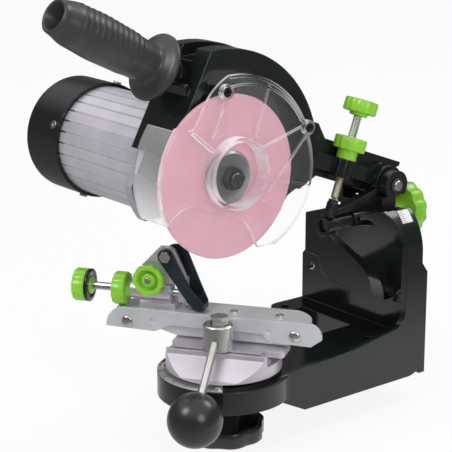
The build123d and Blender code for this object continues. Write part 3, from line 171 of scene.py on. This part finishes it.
def bump(tree, shader, height, distance, strength=1.0, round_edge=0.0007):
    """Fine relief over edges that look as if they were rounded a little."""
    node = tree.nodes.new("ShaderNodeBump")
    node.inputs["Distance"].default_value = distance
    node.inputs["Strength"].default_value = strength
    if round_edge > 0:
        soft_edge = tree.nodes.new("ShaderNodeBevel")
        soft_edge.samples = 6
        soft_edge.inputs["Radius"].default_value = round_edge
        tree.links.new(soft_edge.outputs["Normal"], node.inputs["Normal"])
    tree.links.new(height, node.inputs["Height"])
    tree.links.new(node.outputs["Normal"], shader.inputs["Normal"])
    return node


def vary_rough(tree, shader, value, low, high):
    node = tree.nodes.new("ShaderNodeMapRange")
    node.inputs["To Min"].default_value = low
    node.inputs["To Max"].default_value = high
    tree.links.new(value, node.inputs["Value"])
    tree.links.new(node.outputs["Result"], shader.inputs["Roughness"])


# %% [markdown]
# ## Finishes
#
# The frame is cast iron under thick gloss paint: the paint follows the casting's soft waviness. The grinding
# head is light alloy, turned and slightly lilac in studio light. The knobs are glossy moulded plastic.


# %% Paint on the castings
def gloss_black(name, colour=(0.008, 0.010, 0.010), rough=0.13):
    made, tree, shader = new_finish(name, colour, rough, Specular_IOR_Level=0.5)
    place = object_coords(tree)
    wave = noise(tree, place, 70.0, 2.0)
    bump(tree, shader, wave, 0.0006, 0.3, round_edge=0.0014)
    cloud = noise(tree, place, 14.0)
    darker = tuple(c * 0.75 for c in colour)
    lighter = tuple(c * 1.5 for c in colour)
    tree.links.new(ramp(tree, cloud, (0.3, darker), (0.75, lighter)), shader.inputs["Base Color"])
    vary_rough(tree, shader, cloud, rough - 0.04, rough + 0.06)
    return made


casting_paint = gloss_black("casting_paint")
bracket_paint = gloss_black("bracket_paint", (0.010, 0.011, 0.012), 0.22)
strap_paint = gloss_black("strap_paint", (0.010, 0.016, 0.020), 0.28)


# %% Light alloy
def alloy(name, colour, rough, grain=420.0, depth=0.00012, stretch=(1.0, 1.0, 1.0), metal=0.85):
    made, tree, shader = new_finish(name, colour, rough, metal)
    place = object_coords(tree, stretch)
    fine = noise(tree, place, grain, 4.0, 0.6)
    bump(tree, shader, fine, depth, 0.6)
    soft = noise(tree, object_coords(tree), 22.0)
    lower = tuple(c * 0.9 for c in colour)
    upper = tuple(min(1.0, c * 1.08) for c in colour)
    tree.links.new(ramp(tree, soft, (0.3, lower), (0.7, upper)), shader.inputs["Base Color"])
    vary_rough(tree, shader, soft, rough - 0.06, rough + 0.08)
    return made


housing_alloy = alloy("housing_alloy", (0.56, 0.545, 0.59), 0.42, metal=0.55)
motor_alloy = alloy("motor_alloy", (0.74, 0.71, 0.78), 0.34, stretch=(0.06, 1.0, 1.0), metal=0.6)
vise_alloy = alloy("vise_alloy", (0.64, 0.60, 0.66), 0.36, metal=0.6)
flange_alloy = alloy("flange_alloy", (0.34, 0.34, 0.35), 0.3, metal=0.8)
scale_alloy = alloy("scale_alloy", (0.70, 0.70, 0.71), 0.3, metal=0.8)
zinc = alloy("zinc", (0.66, 0.66, 0.64), 0.24, grain=900.0, depth=0.00005, metal=1.0)
rolled_steel = alloy(
    "rolled_steel", (0.72, 0.73, 0.76), 0.34, grain=300.0, stretch=(1.0, 1.0, 0.2), metal=0.5
)
dark_steel = alloy("dark_steel", (0.16, 0.16, 0.16), 0.4, metal=0.9)
yellow_zinc = alloy("yellow_zinc", (0.62, 0.55, 0.38), 0.3, grain=700.0, metal=0.95)
copper_wire = alloy("copper_wire", (0.60, 0.28, 0.12), 0.35, grain=60.0, stretch=(30.0, 1.0, 1.0), metal=0.9)
bronze = alloy("bronze", (0.5, 0.37, 0.18), 0.35, metal=0.95)


# %% Plastics
def moulded(name, colour, rough, depth=0.00008, grain=900.0, **extra):
    made, tree, shader = new_finish(name, colour, rough, **extra)
    place = object_coords(tree)
    fine = noise(tree, place, grain, 2.0)
    bump(tree, shader, fine, depth, 0.5)
    soft = noise(tree, place, 30.0)
    lower = tuple(c * 0.9 for c in colour)
    upper = tuple(min(1.0, c * 1.1) for c in colour)
    tree.links.new(ramp(tree, soft, (0.3, lower), (0.7, upper)), shader.inputs["Base Color"])
    return made


knob_green = moulded("knob_green", (0.235, 0.56, 0.03), 0.3, Coat_Weight=0.25)
grip_black = moulded("grip_black", (0.040, 0.041, 0.044), 0.32, depth=0.0001, grain=1400.0)
cap_black = moulded("cap_black", (0.010, 0.010, 0.011), 0.12, depth=0.00005)
ball_black = moulded("ball_black", (0.020, 0.021, 0.023), 0.24, depth=0.00006, grain=1200.0)
label_white = moulded("label_white", (0.80, 0.80, 0.78), 0.45)
ink = moulded("ink", (0.02, 0.02, 0.02), 0.5)


# %% Abrasive
def abrasive_finish():
    """Pressed grit: pale specks and tiny pits over a dusty pink."""
    made, tree, shader = new_finish("abrasive", (0.74, 0.42, 0.48), 0.86)
    place = object_coords(tree)
    speck = noise(tree, place, 1500.0, 2.0, 0.7)
    cloud = noise(tree, place, 45.0, 4.0)
    grit = ramp(tree, speck, (0.3, (0.62, 0.31, 0.37)), (0.5, (0.76, 0.43, 0.49)), (0.75, (0.86, 0.56, 0.61)))
    dust = ramp(tree, cloud, (0.3, (0.92, 0.92, 0.92)), (0.7, (1.0, 1.0, 1.0)))
    mix = tree.nodes.new("ShaderNodeMix")
    mix.data_type = "RGBA"
    mix.blend_type = "MULTIPLY"
    mix.inputs["Factor"].default_value = 1.0
    tree.links.new(grit, mix.inputs["A"])
    tree.links.new(dust, mix.inputs["B"])
    tree.links.new(mix.outputs["Result"], shader.inputs["Base Color"])
    bump(tree, shader, speck, 0.0002, 0.5)
    return made


abrasive = abrasive_finish()


# %% Clear guard
def clear_plastic():
    """Thin clear plastic: mostly see-through, with a cool tint where it is seen edge on."""
    made, tree, shader = new_finish(
        "clear_plastic", (0.99, 0.98, 1.0), 0.04, Transmission_Weight=1.0, IOR=1.12, Specular_IOR_Level=0.5
    )
    place = object_coords(tree)
    ripple = noise(tree, place, 60.0, 1.0)
    bump(tree, shader, ripple, 0.0003, 0.15, round_edge=0.0)
    slant = tree.nodes.new("ShaderNodeLayerWeight")
    slant.inputs["Blend"].default_value = 0.5
    clear = tree.nodes.new("ShaderNodeMapRange")
    clear.inputs["From Min"].default_value = 0.3
    clear.inputs["From Max"].default_value = 0.65
    clear.inputs["To Min"].default_value = 0.98
    clear.inputs["To Max"].default_value = 0.25
    tree.links.new(slant.outputs["Facing"], clear.inputs["Value"])
    tree.links.new(clear.outputs["Result"], shader.inputs["Transmission Weight"])
    return made


guard_clear = clear_plastic()

# %% [markdown]
# ## Give each piece its finish

# %% Assign finishes
finish_of = {
    casting_paint: ["base_frame", "arm_housing"],
    bracket_paint: ["tilt_bracket"],
    strap_paint: ["pawl"],
    housing_alloy: ["motor_flange"],
    motor_alloy: ["motor_body", "end_shield", "inner_flange"],
    flange_alloy: ["outer_flange"],
    vise_alloy: ["swivel_base", "vise_body", "chain_stop_base", "stop_carrier"],
    scale_alloy: ["angle_scale"],
    rolled_steel: ["front_jaw", "rear_jaw"],
    zinc: [
        "scale_screws", "hinge_pin", "handle_stud", "front_bearing", "rear_bearing", "cap_screws",
        "swivel_stud", "jaw_screws", "jaw_pins", "cam_bolt", "stop_base_bolt",
        "cam_drum", "lever_rod", "guide_rod", "pawl_bolt",
    ],
    yellow_zinc: ["stop_screw"],
    dark_steel: [
        "pin_clips", "flange_bolts", "stator_core", "rotor_core", "spindle_nut", "pawl_spring", "tilt_shaft",
        "rotor_shaft",
    ],
    copper_wire: ["stator_windings"],
    bronze: ["hinge_bushes"],
    knob_green: [
        "tilt_lock_knob", "stop_knob", "stop_lock_knob", "rod_knob", "rod_lock_knob", "clamp_knob",
        "switch_rocker",
    ],
    grip_black: ["handle_grip"],
    cap_black: ["motor_cap", "capacitor", "cable_gland", "switch_body", "guard_screws"],
    ball_black: ["ball_knob", "hand_knob"],
    label_white: ["tilt_scale"],
    abrasive: ["grinding_wheel"],
    guard_clear: ["clear_guard"],
}
for finish, names in finish_of.items():
    for name in names:
        piece = nodes[name]
        piece.data.materials.clear()
        piece.data.materials.append(finish)
print("finished pieces:", sum(len(names) for names in finish_of.values()))

# %% [markdown]
# ## The threaded depth screw
#
# The rod of the depth stop is a coarse machine screw under yellow zinc. A saw-tooth outline turned once round
# its axis gives rings that read as a thread at this size, with every crest as round as a real one.


# %% Turned pieces
def finish_piece(shape, name, finish, body, slot, *nodes_replaced, smooth=True):
    """Turn a bmesh into a finished piece that rides on its body."""
    bmesh.ops.remove_doubles(shape, verts=shape.verts, dist=1e-6)
    bmesh.ops.recalc_face_normals(shape, faces=shape.faces)
    data = bpy.data.meshes.new(name)
    shape.to_mesh(data)
    shape.free()
    if smooth:
        data.shade_smooth()
    data.materials.append(finish)
    piece = bpy.data.objects.new(name, data)
    bpy.context.collection.objects.link(piece)
    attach(piece, body)
    if nodes_replaced:
        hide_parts(*nodes_replaced)
    print(name, "faces:", len(data.polygons))
    return piece


def turned(outline, steps=48):
    """A solid of revolution about Z from (radius, height) pairs in millimetres."""
    shape = bmesh.new()
    corners = [shape.verts.new((radius / 1000, 0.0, height / 1000)) for radius, height in outline]
    edges = [shape.edges.new(pair) for pair in zip(corners, corners[1:])]
    bmesh.ops.spin(
        shape, geom=corners + edges, cent=(0, 0, 0), axis=(0, 0, 1), angle=math.tau, steps=steps,
        use_merge=True,
    )
    bmesh.ops.remove_doubles(shape, verts=shape.verts, dist=1e-6)
    return shape


def place(shape, origin, direction, first=(1.0, 0.0, 0.0)):
    """Stand a shape made about Z on a point, along a direction."""
    up = Vector(direction).normalized()
    side = (Vector(first) - up * Vector(first).dot(up)).normalized()
    turn = Matrix((side, up.cross(side), up)).transposed().to_4x4()
    bmesh.ops.transform(shape, matrix=Matrix.Translation(origin) @ turn, verts=shape.verts)
    return shape


def threaded_rod(radius, depth, pitch, length, round_end):
    """Outline of a thread from a rounded tip to a flat top."""
    outline = [
        (0.0, 0.0), (radius * 0.45, 0.15), (radius * 0.8, round_end * 0.5), (radius - depth, round_end),
    ]
    height = round_end
    while height + pitch < length:
        outline.append((radius - depth, height + pitch * 0.1))
        outline.append((radius, height + pitch * 0.4))
        outline.append((radius, height + pitch * 0.6))
        outline.append((radius - depth, height + pitch * 0.9))
        height += pitch
    outline.append((radius - depth, length))
    outline.append((0.0, length))
    return outline


# %% Depth screw
SCREW_TIP = -28.3
WORN_FROM = 15.0
screw_shape = turned(threaded_rod(radius=4.0, depth=0.7, pitch=1.75, length=89.9, round_end=2.2), 32)
place(screw_shape, on_arm(*STOP_LINE, SCREW_TIP), STOP_UP)
depth_screw = finish_piece(
    screw_shape, "depth_screw_thread", yellow_zinc, "depth_screw", "yellow_zinc", "stop_screw"
)
depth_screw.data.materials.append(zinc)
worn_height = on_arm(*STOP_LINE, WORN_FROM).dot(STOP_UP)
for face in depth_screw.data.polygons:
    face.material_index = 1 if face.center.dot(STOP_UP) > worn_height else 0

# %% [markdown]
# ## Moulded hand knobs
#
# The small knobs are drums of glossy green plastic with shallow finger scoops, a short hub and a deep ring
# moulded out of the front. An outline is turned round the axis with eight steps to a scoop, and the rim's
# vertices are then drawn in a little in the middle of each scoop.


# %% Knob helper
def fluted(outline, radius, scoops, depth, steps_each=8):
    """A turned shape whose outer wall is drawn in at evenly spaced scoops."""
    shape = turned(outline, scoops * steps_each)
    for vert in shape.verts:
        reach = math.hypot(vert.co.x, vert.co.y) * 1000
        if reach > radius * 0.84:
            angle = math.atan2(vert.co.y, vert.co.x)
            inward = 0.5 + 0.5 * math.cos(angle * scoops)
            shrink = 1.0 - depth / radius * inward**1.5
            vert.co.x *= shrink
            vert.co.y *= shrink
    return shape


def knob_outline(radius, height, hub_r, hub_h, bore_r=0.0, ring_depth=5.0):
    """Hub, rounded rim, moulded ring and middle boss; a bored knob is a closed ring."""
    top = hub_h + height
    ring_outer, ring_inner = radius * 0.68, radius * 0.42
    outline = [
        (hub_r - 0.5, 0.0), (hub_r, 0.5), (hub_r, hub_h), (radius - 1.0, hub_h), (radius - 0.3, hub_h + 0.3),
        (radius, hub_h + 1.0), (radius, top - 1.4), (radius - 0.4, top - 0.4), (radius - 1.4, top),
        (ring_outer + 0.5, top), (ring_outer, top - 0.5), (ring_outer - 0.3, top - ring_depth),
        (ring_inner + 0.3, top - ring_depth), (ring_inner, top - 1.8), (ring_inner - 0.5, top - 1.2),
    ]
    if bore_r > 0:
        return [(bore_r, 0.0)] + outline + [(bore_r, top - 1.2), (bore_r, 0.0)]
    return [(0.0, 0.0)] + outline + [(0.0, top - 1.2)]


def knob(name, body, node, origin, direction, outline, radius, scoops=12, depth=0.9, finish=None):
    shape = place(fluted(outline, radius, scoops, depth), origin, direction)
    return finish_piece(shape, name, finish or knob_green, body, "green_plastic", node)


# %% Small knobs
ROD_END = -126.0
knob(
    "depth_knob", "depth_screw", "stop_knob", on_arm(*STOP_LINE, 51.0), STOP_UP,
    knob_outline(15.5, 12.0, 8.5, 3.0), 15.5,
)
knob(
    "depth_lock_knob", "depth_lock", "stop_lock_knob", on_arm(*STOP_LINE, 9.6), STOP_UP,
    knob_outline(15.0, 12.0, 9.5, 8.9, bore_r=4.05), 15.0,
)
knob(
    "rod_end_knob", "stop_slide", "rod_knob", on_vise(ROD_END, *ROD_LINE), -RAIL,
    knob_outline(15.0, 12.0, 8.0, 4.0), 15.0,
)
knob(
    "rod_clamping_knob", "rod_lock", "rod_lock_knob", on_vise(-88.1, *ROD_LINE), -RAIL,
    knob_outline(15.0, 12.0, 8.0, 4.0, bore_r=3.55), 15.0,
)
knob(
    "front_clamp_knob", "clamp", "clamp_knob", on_vise(*CLAMP_SEAT), -BACK,
    knob_outline(14.5, 7.6, 6.5, 5.4), 14.5,
)
knob(
    "tilt_knob", "tilt_lock", "tilt_lock_knob", (0.0, -0.0069, 0.150), (0.0, 1.0, 0.0),
    knob_outline(26.0, 15.0, 12.0, 12.5, bore_r=6.05), 26.0, scoops=12, depth=1.6,
)

# %% Screw end in the clamp knob
screw_end = turned([(0.0, 0.0), (3.0, 0.0), (3.0, 1.0), (2.4, 1.6), (0.0, 1.6)], 24)
place(screw_end, on_vise(*CLAMP_SEAT) - BACK * 0.0118, -BACK)
finish_piece(screw_end, "clamp_screw_end", zinc, "clamp", "zinc", smooth=False)

# %% Black washer behind the rod's end knob
washer_ring = [(8.3, 1.2), (14.6, 1.2), (15.0, 1.6), (15.0, 3.6), (14.0, 3.95), (8.3, 3.95), (8.3, 1.2)]
washer = turned(washer_ring, 48)
place(washer, on_vise(ROD_END, *ROD_LINE), -RAIL)
finish_piece(washer, "rod_knob_ring", cap_black, "stop_slide", "black_plastic")

# %% [markdown]
# ## The big nut knob under the ring
#
# One big knob under the ring draws the vise down on it. It is a deep cup with broad scoops, open towards the
# ring.

# %% Cup knob
cup = [
    (0.0, 38.7), (6.05, 38.7), (6.05, 0.0), (13.0, 0.0), (14.0, 1.0), (14.0, 50.4), (32.0, 50.4),
    (32.6, 49.6), (32.6, 39.6), (33.2, 38.95), (36.2, 38.95), (37.0, 39.8), (37.0, 52.0), (35.0, 54.0),
    (33.0, 54.3), (0.0, 54.3),
]
knob(
    "swivel_knob", "hand_wheel", "hand_knob", (0.0, TURNTABLE.y, 0.0289), (0.0, 0.0, -1.0), cup, 37.0,
    scoops=8, depth=2.4, finish=ball_black,
)

# %% [markdown]
# ## Ribbed motor shell
#
# The motor's shell is drawn in flat ribs with a narrow groove between each pair, and a deeper notch where a
# groove runs under the black cap. A turned tube has its vertices drawn in at every twelfth step to open the
# grooves, and the steps between lie on a straight line, which makes each rib flat.


# %% Ribbed shell
def ribbed_shell(radius, inner_r, length, pitch_degrees=12):
    """A tube about Z with flat ribs, smooth only along its top and bottom."""
    tube = [
        (inner_r, 0), (radius - 0.4, 0), (radius, 0.4), (radius, 11), (radius, 11.4), (radius, length - 3.4),
        (radius, length - 3), (radius, length - 0.4), (radius - 0.4, length), (inner_r, length), (inner_r, 0),
    ]
    shape = turned(tube, steps=360)
    half = pitch_degrees / 2
    for vert in shape.verts:
        reach = math.hypot(vert.co.x, vert.co.y) * 1000
        height = vert.co.z * 1000
        if reach < radius - 1 or height > length - 3.2:
            continue
        angle = math.degrees(math.atan2(vert.co.y, vert.co.x)) % 360
        from_crest = min(abs(angle - 90), abs(angle - 270))
        if from_crest < 5.5:
            continue
        across_rib = (angle + half) % pitch_degrees - half
        if abs(abs(across_rib) - half) < 0.3:
            wanted = radius - (5.0 if height < 11.2 else 1.6)
        else:
            wanted = reach * math.cos(math.radians(half)) / math.cos(math.radians(across_rib))
        vert.co.x *= wanted / reach
        vert.co.y *= wanted / reach
    return shape


MOTOR_REAR = Vector((-0.188, AXLE.y, AXLE.z))
shell = place(ribbed_shell(radius=51.5, inner_r=45.5, length=128.0), MOTOR_REAR, (1, 0, 0), (0, 1, 0))
finish_piece(shell, "ribbed_motor_shell", motor_alloy, "head", "alu_casting", "motor_body", smooth=False)

# %% [markdown]
# ## Handle grip
#
# The grip is hard rubber over a stud, hollow at its free end, with shallow ridges under the fingers. Its
# outline is turned finely enough for ridges, which are pushed out only on the fingers' side.


# %% Ridged grip
HANDLE_ROOT = AXLE + Vector((-0.045, -0.0406, 0.0932))
HANDLE_OUT = Vector((0.0, -math.cos(math.radians(28.0)), math.sin(math.radians(28.0))))


def grip_radius(along):
    """Radius of the grip at a distance from its flange: slim, full in the middle and slim again."""
    stops = ((12.0, 17.3), (26.0, 18.2), (40.0, 19.5), (70.0, 20.4), (95.0, 19.4), (116.0, 15.5))
    for (near, near_r), (far, far_r) in zip(stops, stops[1:]):
        if along <= far:
            part = (along - near) / (far - near)
            ease = part * part * (3 - 2 * part)
            return near_r + (far_r - near_r) * ease
    return stops[-1][1]


grip_flange = [
    (5.05, 0.1), (29.7, 0.1), (30.4, 0.8), (30.4, 3.4), (29.4, 4.6), (25.5, 6.4), (20.0, 7.6), (17.8, 9.2),
]
grip_side = [(grip_radius(12.0 + 0.65 * step), 12.0 + 0.65 * step) for step in range(158)]
grip_hollow = [
    (15.3, 115.2), (14.4, 115.9), (12.8, 115.9), (12.0, 115.0), (12.0, 84.5), (5.05, 84.0), (5.05, 0.1),
]
grip_line = grip_flange + grip_side + grip_hollow
grip_shape = turned(grip_line, 72)
for vert in grip_shape.verts:
    along = vert.co.z * 1000
    reach = math.hypot(vert.co.x, vert.co.y) * 1000
    if 26.0 < along < 102.0 and reach > 15.0:
        angle = math.atan2(vert.co.y, vert.co.x)
        side = max(0.0, math.cos(angle - math.radians(42.0))) ** 2
        fade = min(1.0, (along - 26.0) / 6.0, (102.0 - along) / 6.0)
        ridge = 0.7 * side * fade * (0.5 - 0.5 * math.cos(math.tau * along / 6.2)) ** 5
        grow = 1.0 + ridge / reach
        vert.co.x *= grow
        vert.co.y *= grow
place(grip_shape, HANDLE_ROOT, HANDLE_OUT)
finish_piece(grip_shape, "ridged_grip", grip_black, "head", "black_plastic", "handle_grip")

# %% [markdown]
# ## Pins with domed heads
#
# The guide pins of the jaw have domed heads that catch small bright lights. Each dome is turned in six steps.


# %% Domed pins
def domed_pin(shape, origin, direction, head_r, head_h, shank_r, shank_length):
    """One pin with its head's underside at the origin, joined to a mesh."""
    shank = [(0.0, -shank_length), (shank_r, -shank_length), (shank_r, 0.0)]
    head = shank + [(head_r, 0.0), (head_r, head_h * 0.25)]
    for step in range(1, 7):
        turn = math.radians(15.0 * step)
        head.append((head_r * math.cos(turn), head_h * (0.25 + 0.75 * math.sin(turn))))
    head[-1] = (0.0, head_h)
    one = place(turned(head, 32), origin, direction)
    data = bpy.data.meshes.new("one_pin")
    one.to_mesh(data)
    one.free()
    shape.from_mesh(data)
    bpy.data.meshes.remove(data)


pins = bmesh.new()
JAW_FRONT = -4.5
for along in (-89.0, 65.6):
    domed_pin(pins, on_vise(along, JAW_FRONT, 76.5), -BACK, 5.1, 2.6, 2.5, 8.5)
finish_piece(pins, "jaw_pin_heads", zinc, "vise", "zinc", "jaw_pins")

# %% [markdown]
# ## The spring of the chain stop
#
# A torsion spring of round wire sits on the pawl's bolt. A small ring of wire is wound round the bolt while
# it moves along it, which is what the spin operator's step along the axis does.


# %% Wound spring
def wound_spring(coil_radius, wire_radius, turns, length):
    """Round wire wound about Z, in millimetres."""
    shape = bmesh.new()
    ring = bmesh.ops.create_circle(shape, segments=10, radius=wire_radius / 1000)
    bmesh.ops.rotate(shape, verts=ring["verts"], cent=(0, 0, 0), matrix=Matrix.Rotation(math.pi / 2, 3, "X"))
    bmesh.ops.translate(shape, verts=ring["verts"], vec=(coil_radius / 1000, 0.0, wire_radius / 1000))
    steps = int(turns * 24)
    bmesh.ops.contextual_create(shape, geom=shape.edges[:])
    wire = ring["verts"] + list(shape.edges)
    rise = (length - 2 * wire_radius) / 1000 / steps
    end = bmesh.ops.spin(
        shape, geom=wire, cent=(0, 0, 0), axis=(0, 0, 1), dvec=(0, 0, rise), angle=math.tau * turns,
        steps=steps,
    )
    last = [part for part in end["geom_last"] if isinstance(part, bmesh.types.BMEdge)]
    bmesh.ops.contextual_create(shape, geom=last)
    return shape


spring_shape = place(wound_spring(4.0, 0.55, 5, 6.3), on_vise(-54.0, 14.5, 138.0), -BACK, RAIL)
finish_piece(spring_shape, "pawl_spring_wire", zinc, "pawl", "dark_steel", "pawl_spring")

# %% [markdown]
# ## Graduations
#
# The quadrant on the ring is engraved in degrees, with a longer line and a number at every fifteen. The lines
# are thin plates a hair above the metal. Numbers start as text and are made into a mesh.


# %% Ring scale
def line_plate(shape, length, width, thick, matrix):
    """One engraved line as a thin plate along X."""
    made = bmesh.ops.create_cube(shape, size=1.0)
    bmesh.ops.scale(shape, verts=made["verts"], vec=(length, width, thick))
    bmesh.ops.transform(shape, matrix=matrix, verts=made["verts"])


def number_mesh(text, size, matrix):
    """A number as a thin mesh, placed by a matrix."""
    words = bpy.data.curves.new("number", "FONT")
    words.body = text
    words.size = size
    words.align_x = "CENTER"
    words.align_y = "CENTER"
    words.extrude = 0.0001
    holder = bpy.data.objects.new("number", words)
    bpy.context.collection.objects.link(holder)
    bpy.context.view_layer.update()
    data = bpy.data.meshes.new_from_object(holder)
    bpy.data.objects.remove(holder)
    data.transform(matrix)
    return data


scale_marks = bmesh.new()
scale_top = Matrix.Translation((0.0, TURNTABLE.y, TURNTABLE.z + 0.0012))
for degree in range(-45, 46, 3):
    long_line = degree % 15 == 0
    length = 0.0037 if long_line else 0.0022
    reach = 0.0521 + length / 2
    spin = Matrix.Rotation(math.radians(degree - 90), 4, "Z")
    matrix = scale_top @ spin @ Matrix.Translation((reach, 0.0, 0.0))
    line_plate(scale_marks, length, 0.0007 if long_line else 0.0005, 0.0002, matrix)
for degree in range(-45, 46, 15):
    spin = Matrix.Rotation(math.radians(degree - 90), 4, "Z")
    matrix = scale_top @ spin @ Matrix.Translation((0.0576, 0.0, 0.0))
    matrix = matrix @ Matrix.Rotation(math.pi / 2, 4, "Z")
    figure = number_mesh(str(abs(degree)), 0.0033, matrix)
    scale_marks.from_mesh(figure)
    bpy.data.meshes.remove(figure)
finish_piece(scale_marks, "ring_scale_marks", ink, "frame", "black_plastic", smooth=False)

# %% Tilt scale
tilt_marks = bmesh.new()
centre = Matrix.Translation((-0.006, 0.0, 0.1195))
for degree in range(34, 47, 2):
    spin = Matrix.Rotation(math.radians(-degree), 4, "Y")
    length = 0.006 if degree % 4 == 2 else 0.004
    matrix = centre @ spin @ Matrix.Translation((0.0548, -0.0255 + length / 2, 0.0))
    matrix = matrix @ Matrix.Rotation(math.pi / 2, 4, "Z")
    line_plate(tilt_marks, length, 0.0001, 0.0004, matrix)
finish_piece(tilt_marks, "tilt_scale_marks", ink, "frame", "black_plastic", smooth=False)

# %% [markdown]
# ## Floor, backdrop and light
#
# The floor is a pale sheet that keeps the machine's shadow. Rays from the camera and through the clear guard
# see it as plain white. Rays from gloss see it glow white near the machine and fade to dim further out: a
# painted reflection.


# %% Floor and world
# strength of the painted reflection where the floor fades out, and of the dim band that gloss sees in the
# world
DIM_REFLECTION = 0.12


def larger(tree, first, second):
    """The larger of two values."""
    node = tree.nodes.new("ShaderNodeMath")
    node.operation = "MAXIMUM"
    tree.links.new(first, node.inputs[0])
    tree.links.new(second, node.inputs[1])
    return node.outputs["Value"]


def pale_stage():
    made = bpy.data.materials.new("pale_floor")
    made.use_nodes = True
    tree = made.node_tree
    shader = tree.nodes["Principled BSDF"]
    shader.inputs["Base Color"].default_value = (0.93, 0.93, 0.93, 1.0)
    shader.inputs["Roughness"].default_value = 0.9
    path = tree.nodes.new("ShaderNodeLightPath")
    direct = larger(tree, path.outputs["Is Camera Ray"], path.outputs["Is Transmission Ray"])
    # painted reflection: gloss sees the floor glow white near the machine and fade to dim further out
    distance = tree.nodes.new("ShaderNodeVectorMath")
    distance.operation = "LENGTH"
    tree.links.new(object_coords(tree), distance.inputs[0])
    painted_reflection_fade = tree.nodes.new("ShaderNodeMapRange")
    painted_reflection_fade.interpolation_type = "SMOOTHSTEP"
    painted_reflection_fade.inputs["From Min"].default_value = 0.15
    painted_reflection_fade.inputs["From Max"].default_value = 0.5
    painted_reflection_fade.inputs["To Min"].default_value = 1.0
    painted_reflection_fade.inputs["To Max"].default_value = DIM_REFLECTION
    tree.links.new(distance.outputs["Value"], painted_reflection_fade.inputs["Value"])
    glow = tree.nodes.new("ShaderNodeEmission")
    glow.inputs["Color"].default_value = (1.0, 1.0, 1.0, 1.0)
    tree.links.new(larger(tree, direct, painted_reflection_fade.outputs["Result"]), glow.inputs["Strength"])
    # the floor glows for the camera, through the guard and in gloss, where the glow is a painted reflection
    share = tree.nodes.new("ShaderNodeMath")
    share.operation = "MULTIPLY"
    share.inputs[1].default_value = 0.88
    tree.links.new(larger(tree, direct, path.outputs["Is Glossy Ray"]), share.inputs[0])
    mix = tree.nodes.new("ShaderNodeMixShader")
    tree.links.new(share.outputs["Value"], mix.inputs["Fac"])
    tree.links.new(shader.outputs["BSDF"], mix.inputs[1])
    tree.links.new(glow.outputs["Emission"], mix.inputs[2])
    tree.links.new(mix.outputs["Shader"], tree.nodes["Material Output"].inputs["Surface"])
    return made


sheet = bmesh.new()
bmesh.ops.create_grid(sheet, x_segments=2, y_segments=2, size=6.0)
bmesh.ops.translate(sheet, verts=sheet.verts, vec=(0.0, 0.0, cad_low[2] - 0.0005))
floor_mesh = bpy.data.meshes.new("floor")
sheet.to_mesh(floor_mesh)
sheet.free()
floor_mesh.materials.append(pale_stage())
floor = bpy.data.objects.new("floor", floor_mesh)
bpy.context.collection.objects.link(floor)

world = bpy.data.worlds.new("studio")
bpy.context.scene.world = world
world.use_nodes = True
sky = world.node_tree
background = sky.nodes["Background"]
path = sky.nodes.new("ShaderNodeLightPath")
direct = larger(sky, path.outputs["Is Camera Ray"], path.outputs["Is Transmission Ray"])
# gloss sees a dim room under a white ceiling, and matt surfaces an even grey
height = sky.nodes.new("ShaderNodeSeparateXYZ")
sky.links.new(sky.nodes.new("ShaderNodeTexCoord").outputs["Generated"], height.inputs["Vector"])
ceiling = sky.nodes.new("ShaderNodeMapRange")
ceiling.interpolation_type = "SMOOTHSTEP"
ceiling.inputs["From Min"].default_value = 0.35
ceiling.inputs["From Max"].default_value = 0.75
ceiling.inputs["To Min"].default_value = DIM_REFLECTION
ceiling.inputs["To Max"].default_value = 1.0
sky.links.new(height.outputs["Z"], ceiling.inputs["Value"])
room = sky.nodes.new("ShaderNodeMapRange")
room.inputs["To Min"].default_value = 0.62
sky.links.new(path.outputs["Is Glossy Ray"], room.inputs["Value"])
sky.links.new(ceiling.outputs["Result"], room.inputs["To Max"])
sky.links.new(larger(sky, direct, room.outputs["Result"]), background.inputs["Strength"])
background.inputs["Color"].default_value = (1.0, 1.0, 1.0, 1.0)


# %% Lamps
def soft_lamp(name, place, target, size, power):
    data = bpy.data.lights.new(name, "AREA")
    data.shape = "DISK"
    data.size = size
    data.energy = power
    lamp = bpy.data.objects.new(name, data)
    bpy.context.collection.objects.link(lamp)
    lamp.location = place
    lamp.rotation_euler = (Vector(place) - Vector(target)).to_track_quat("Z", "Y").to_euler()
    return lamp


middle = (0.0, -0.18, 0.15)
soft_lamp("key", (-0.2, -1.6, 1.6), middle, 0.9, 14.0)
soft_lamp("side", (1.7, -0.5, 0.9), middle, 0.9, 8.0)
soft_lamp("rim", (0.3, 1.2, 1.5), middle, 0.8, 8.0)
print("lamps set")
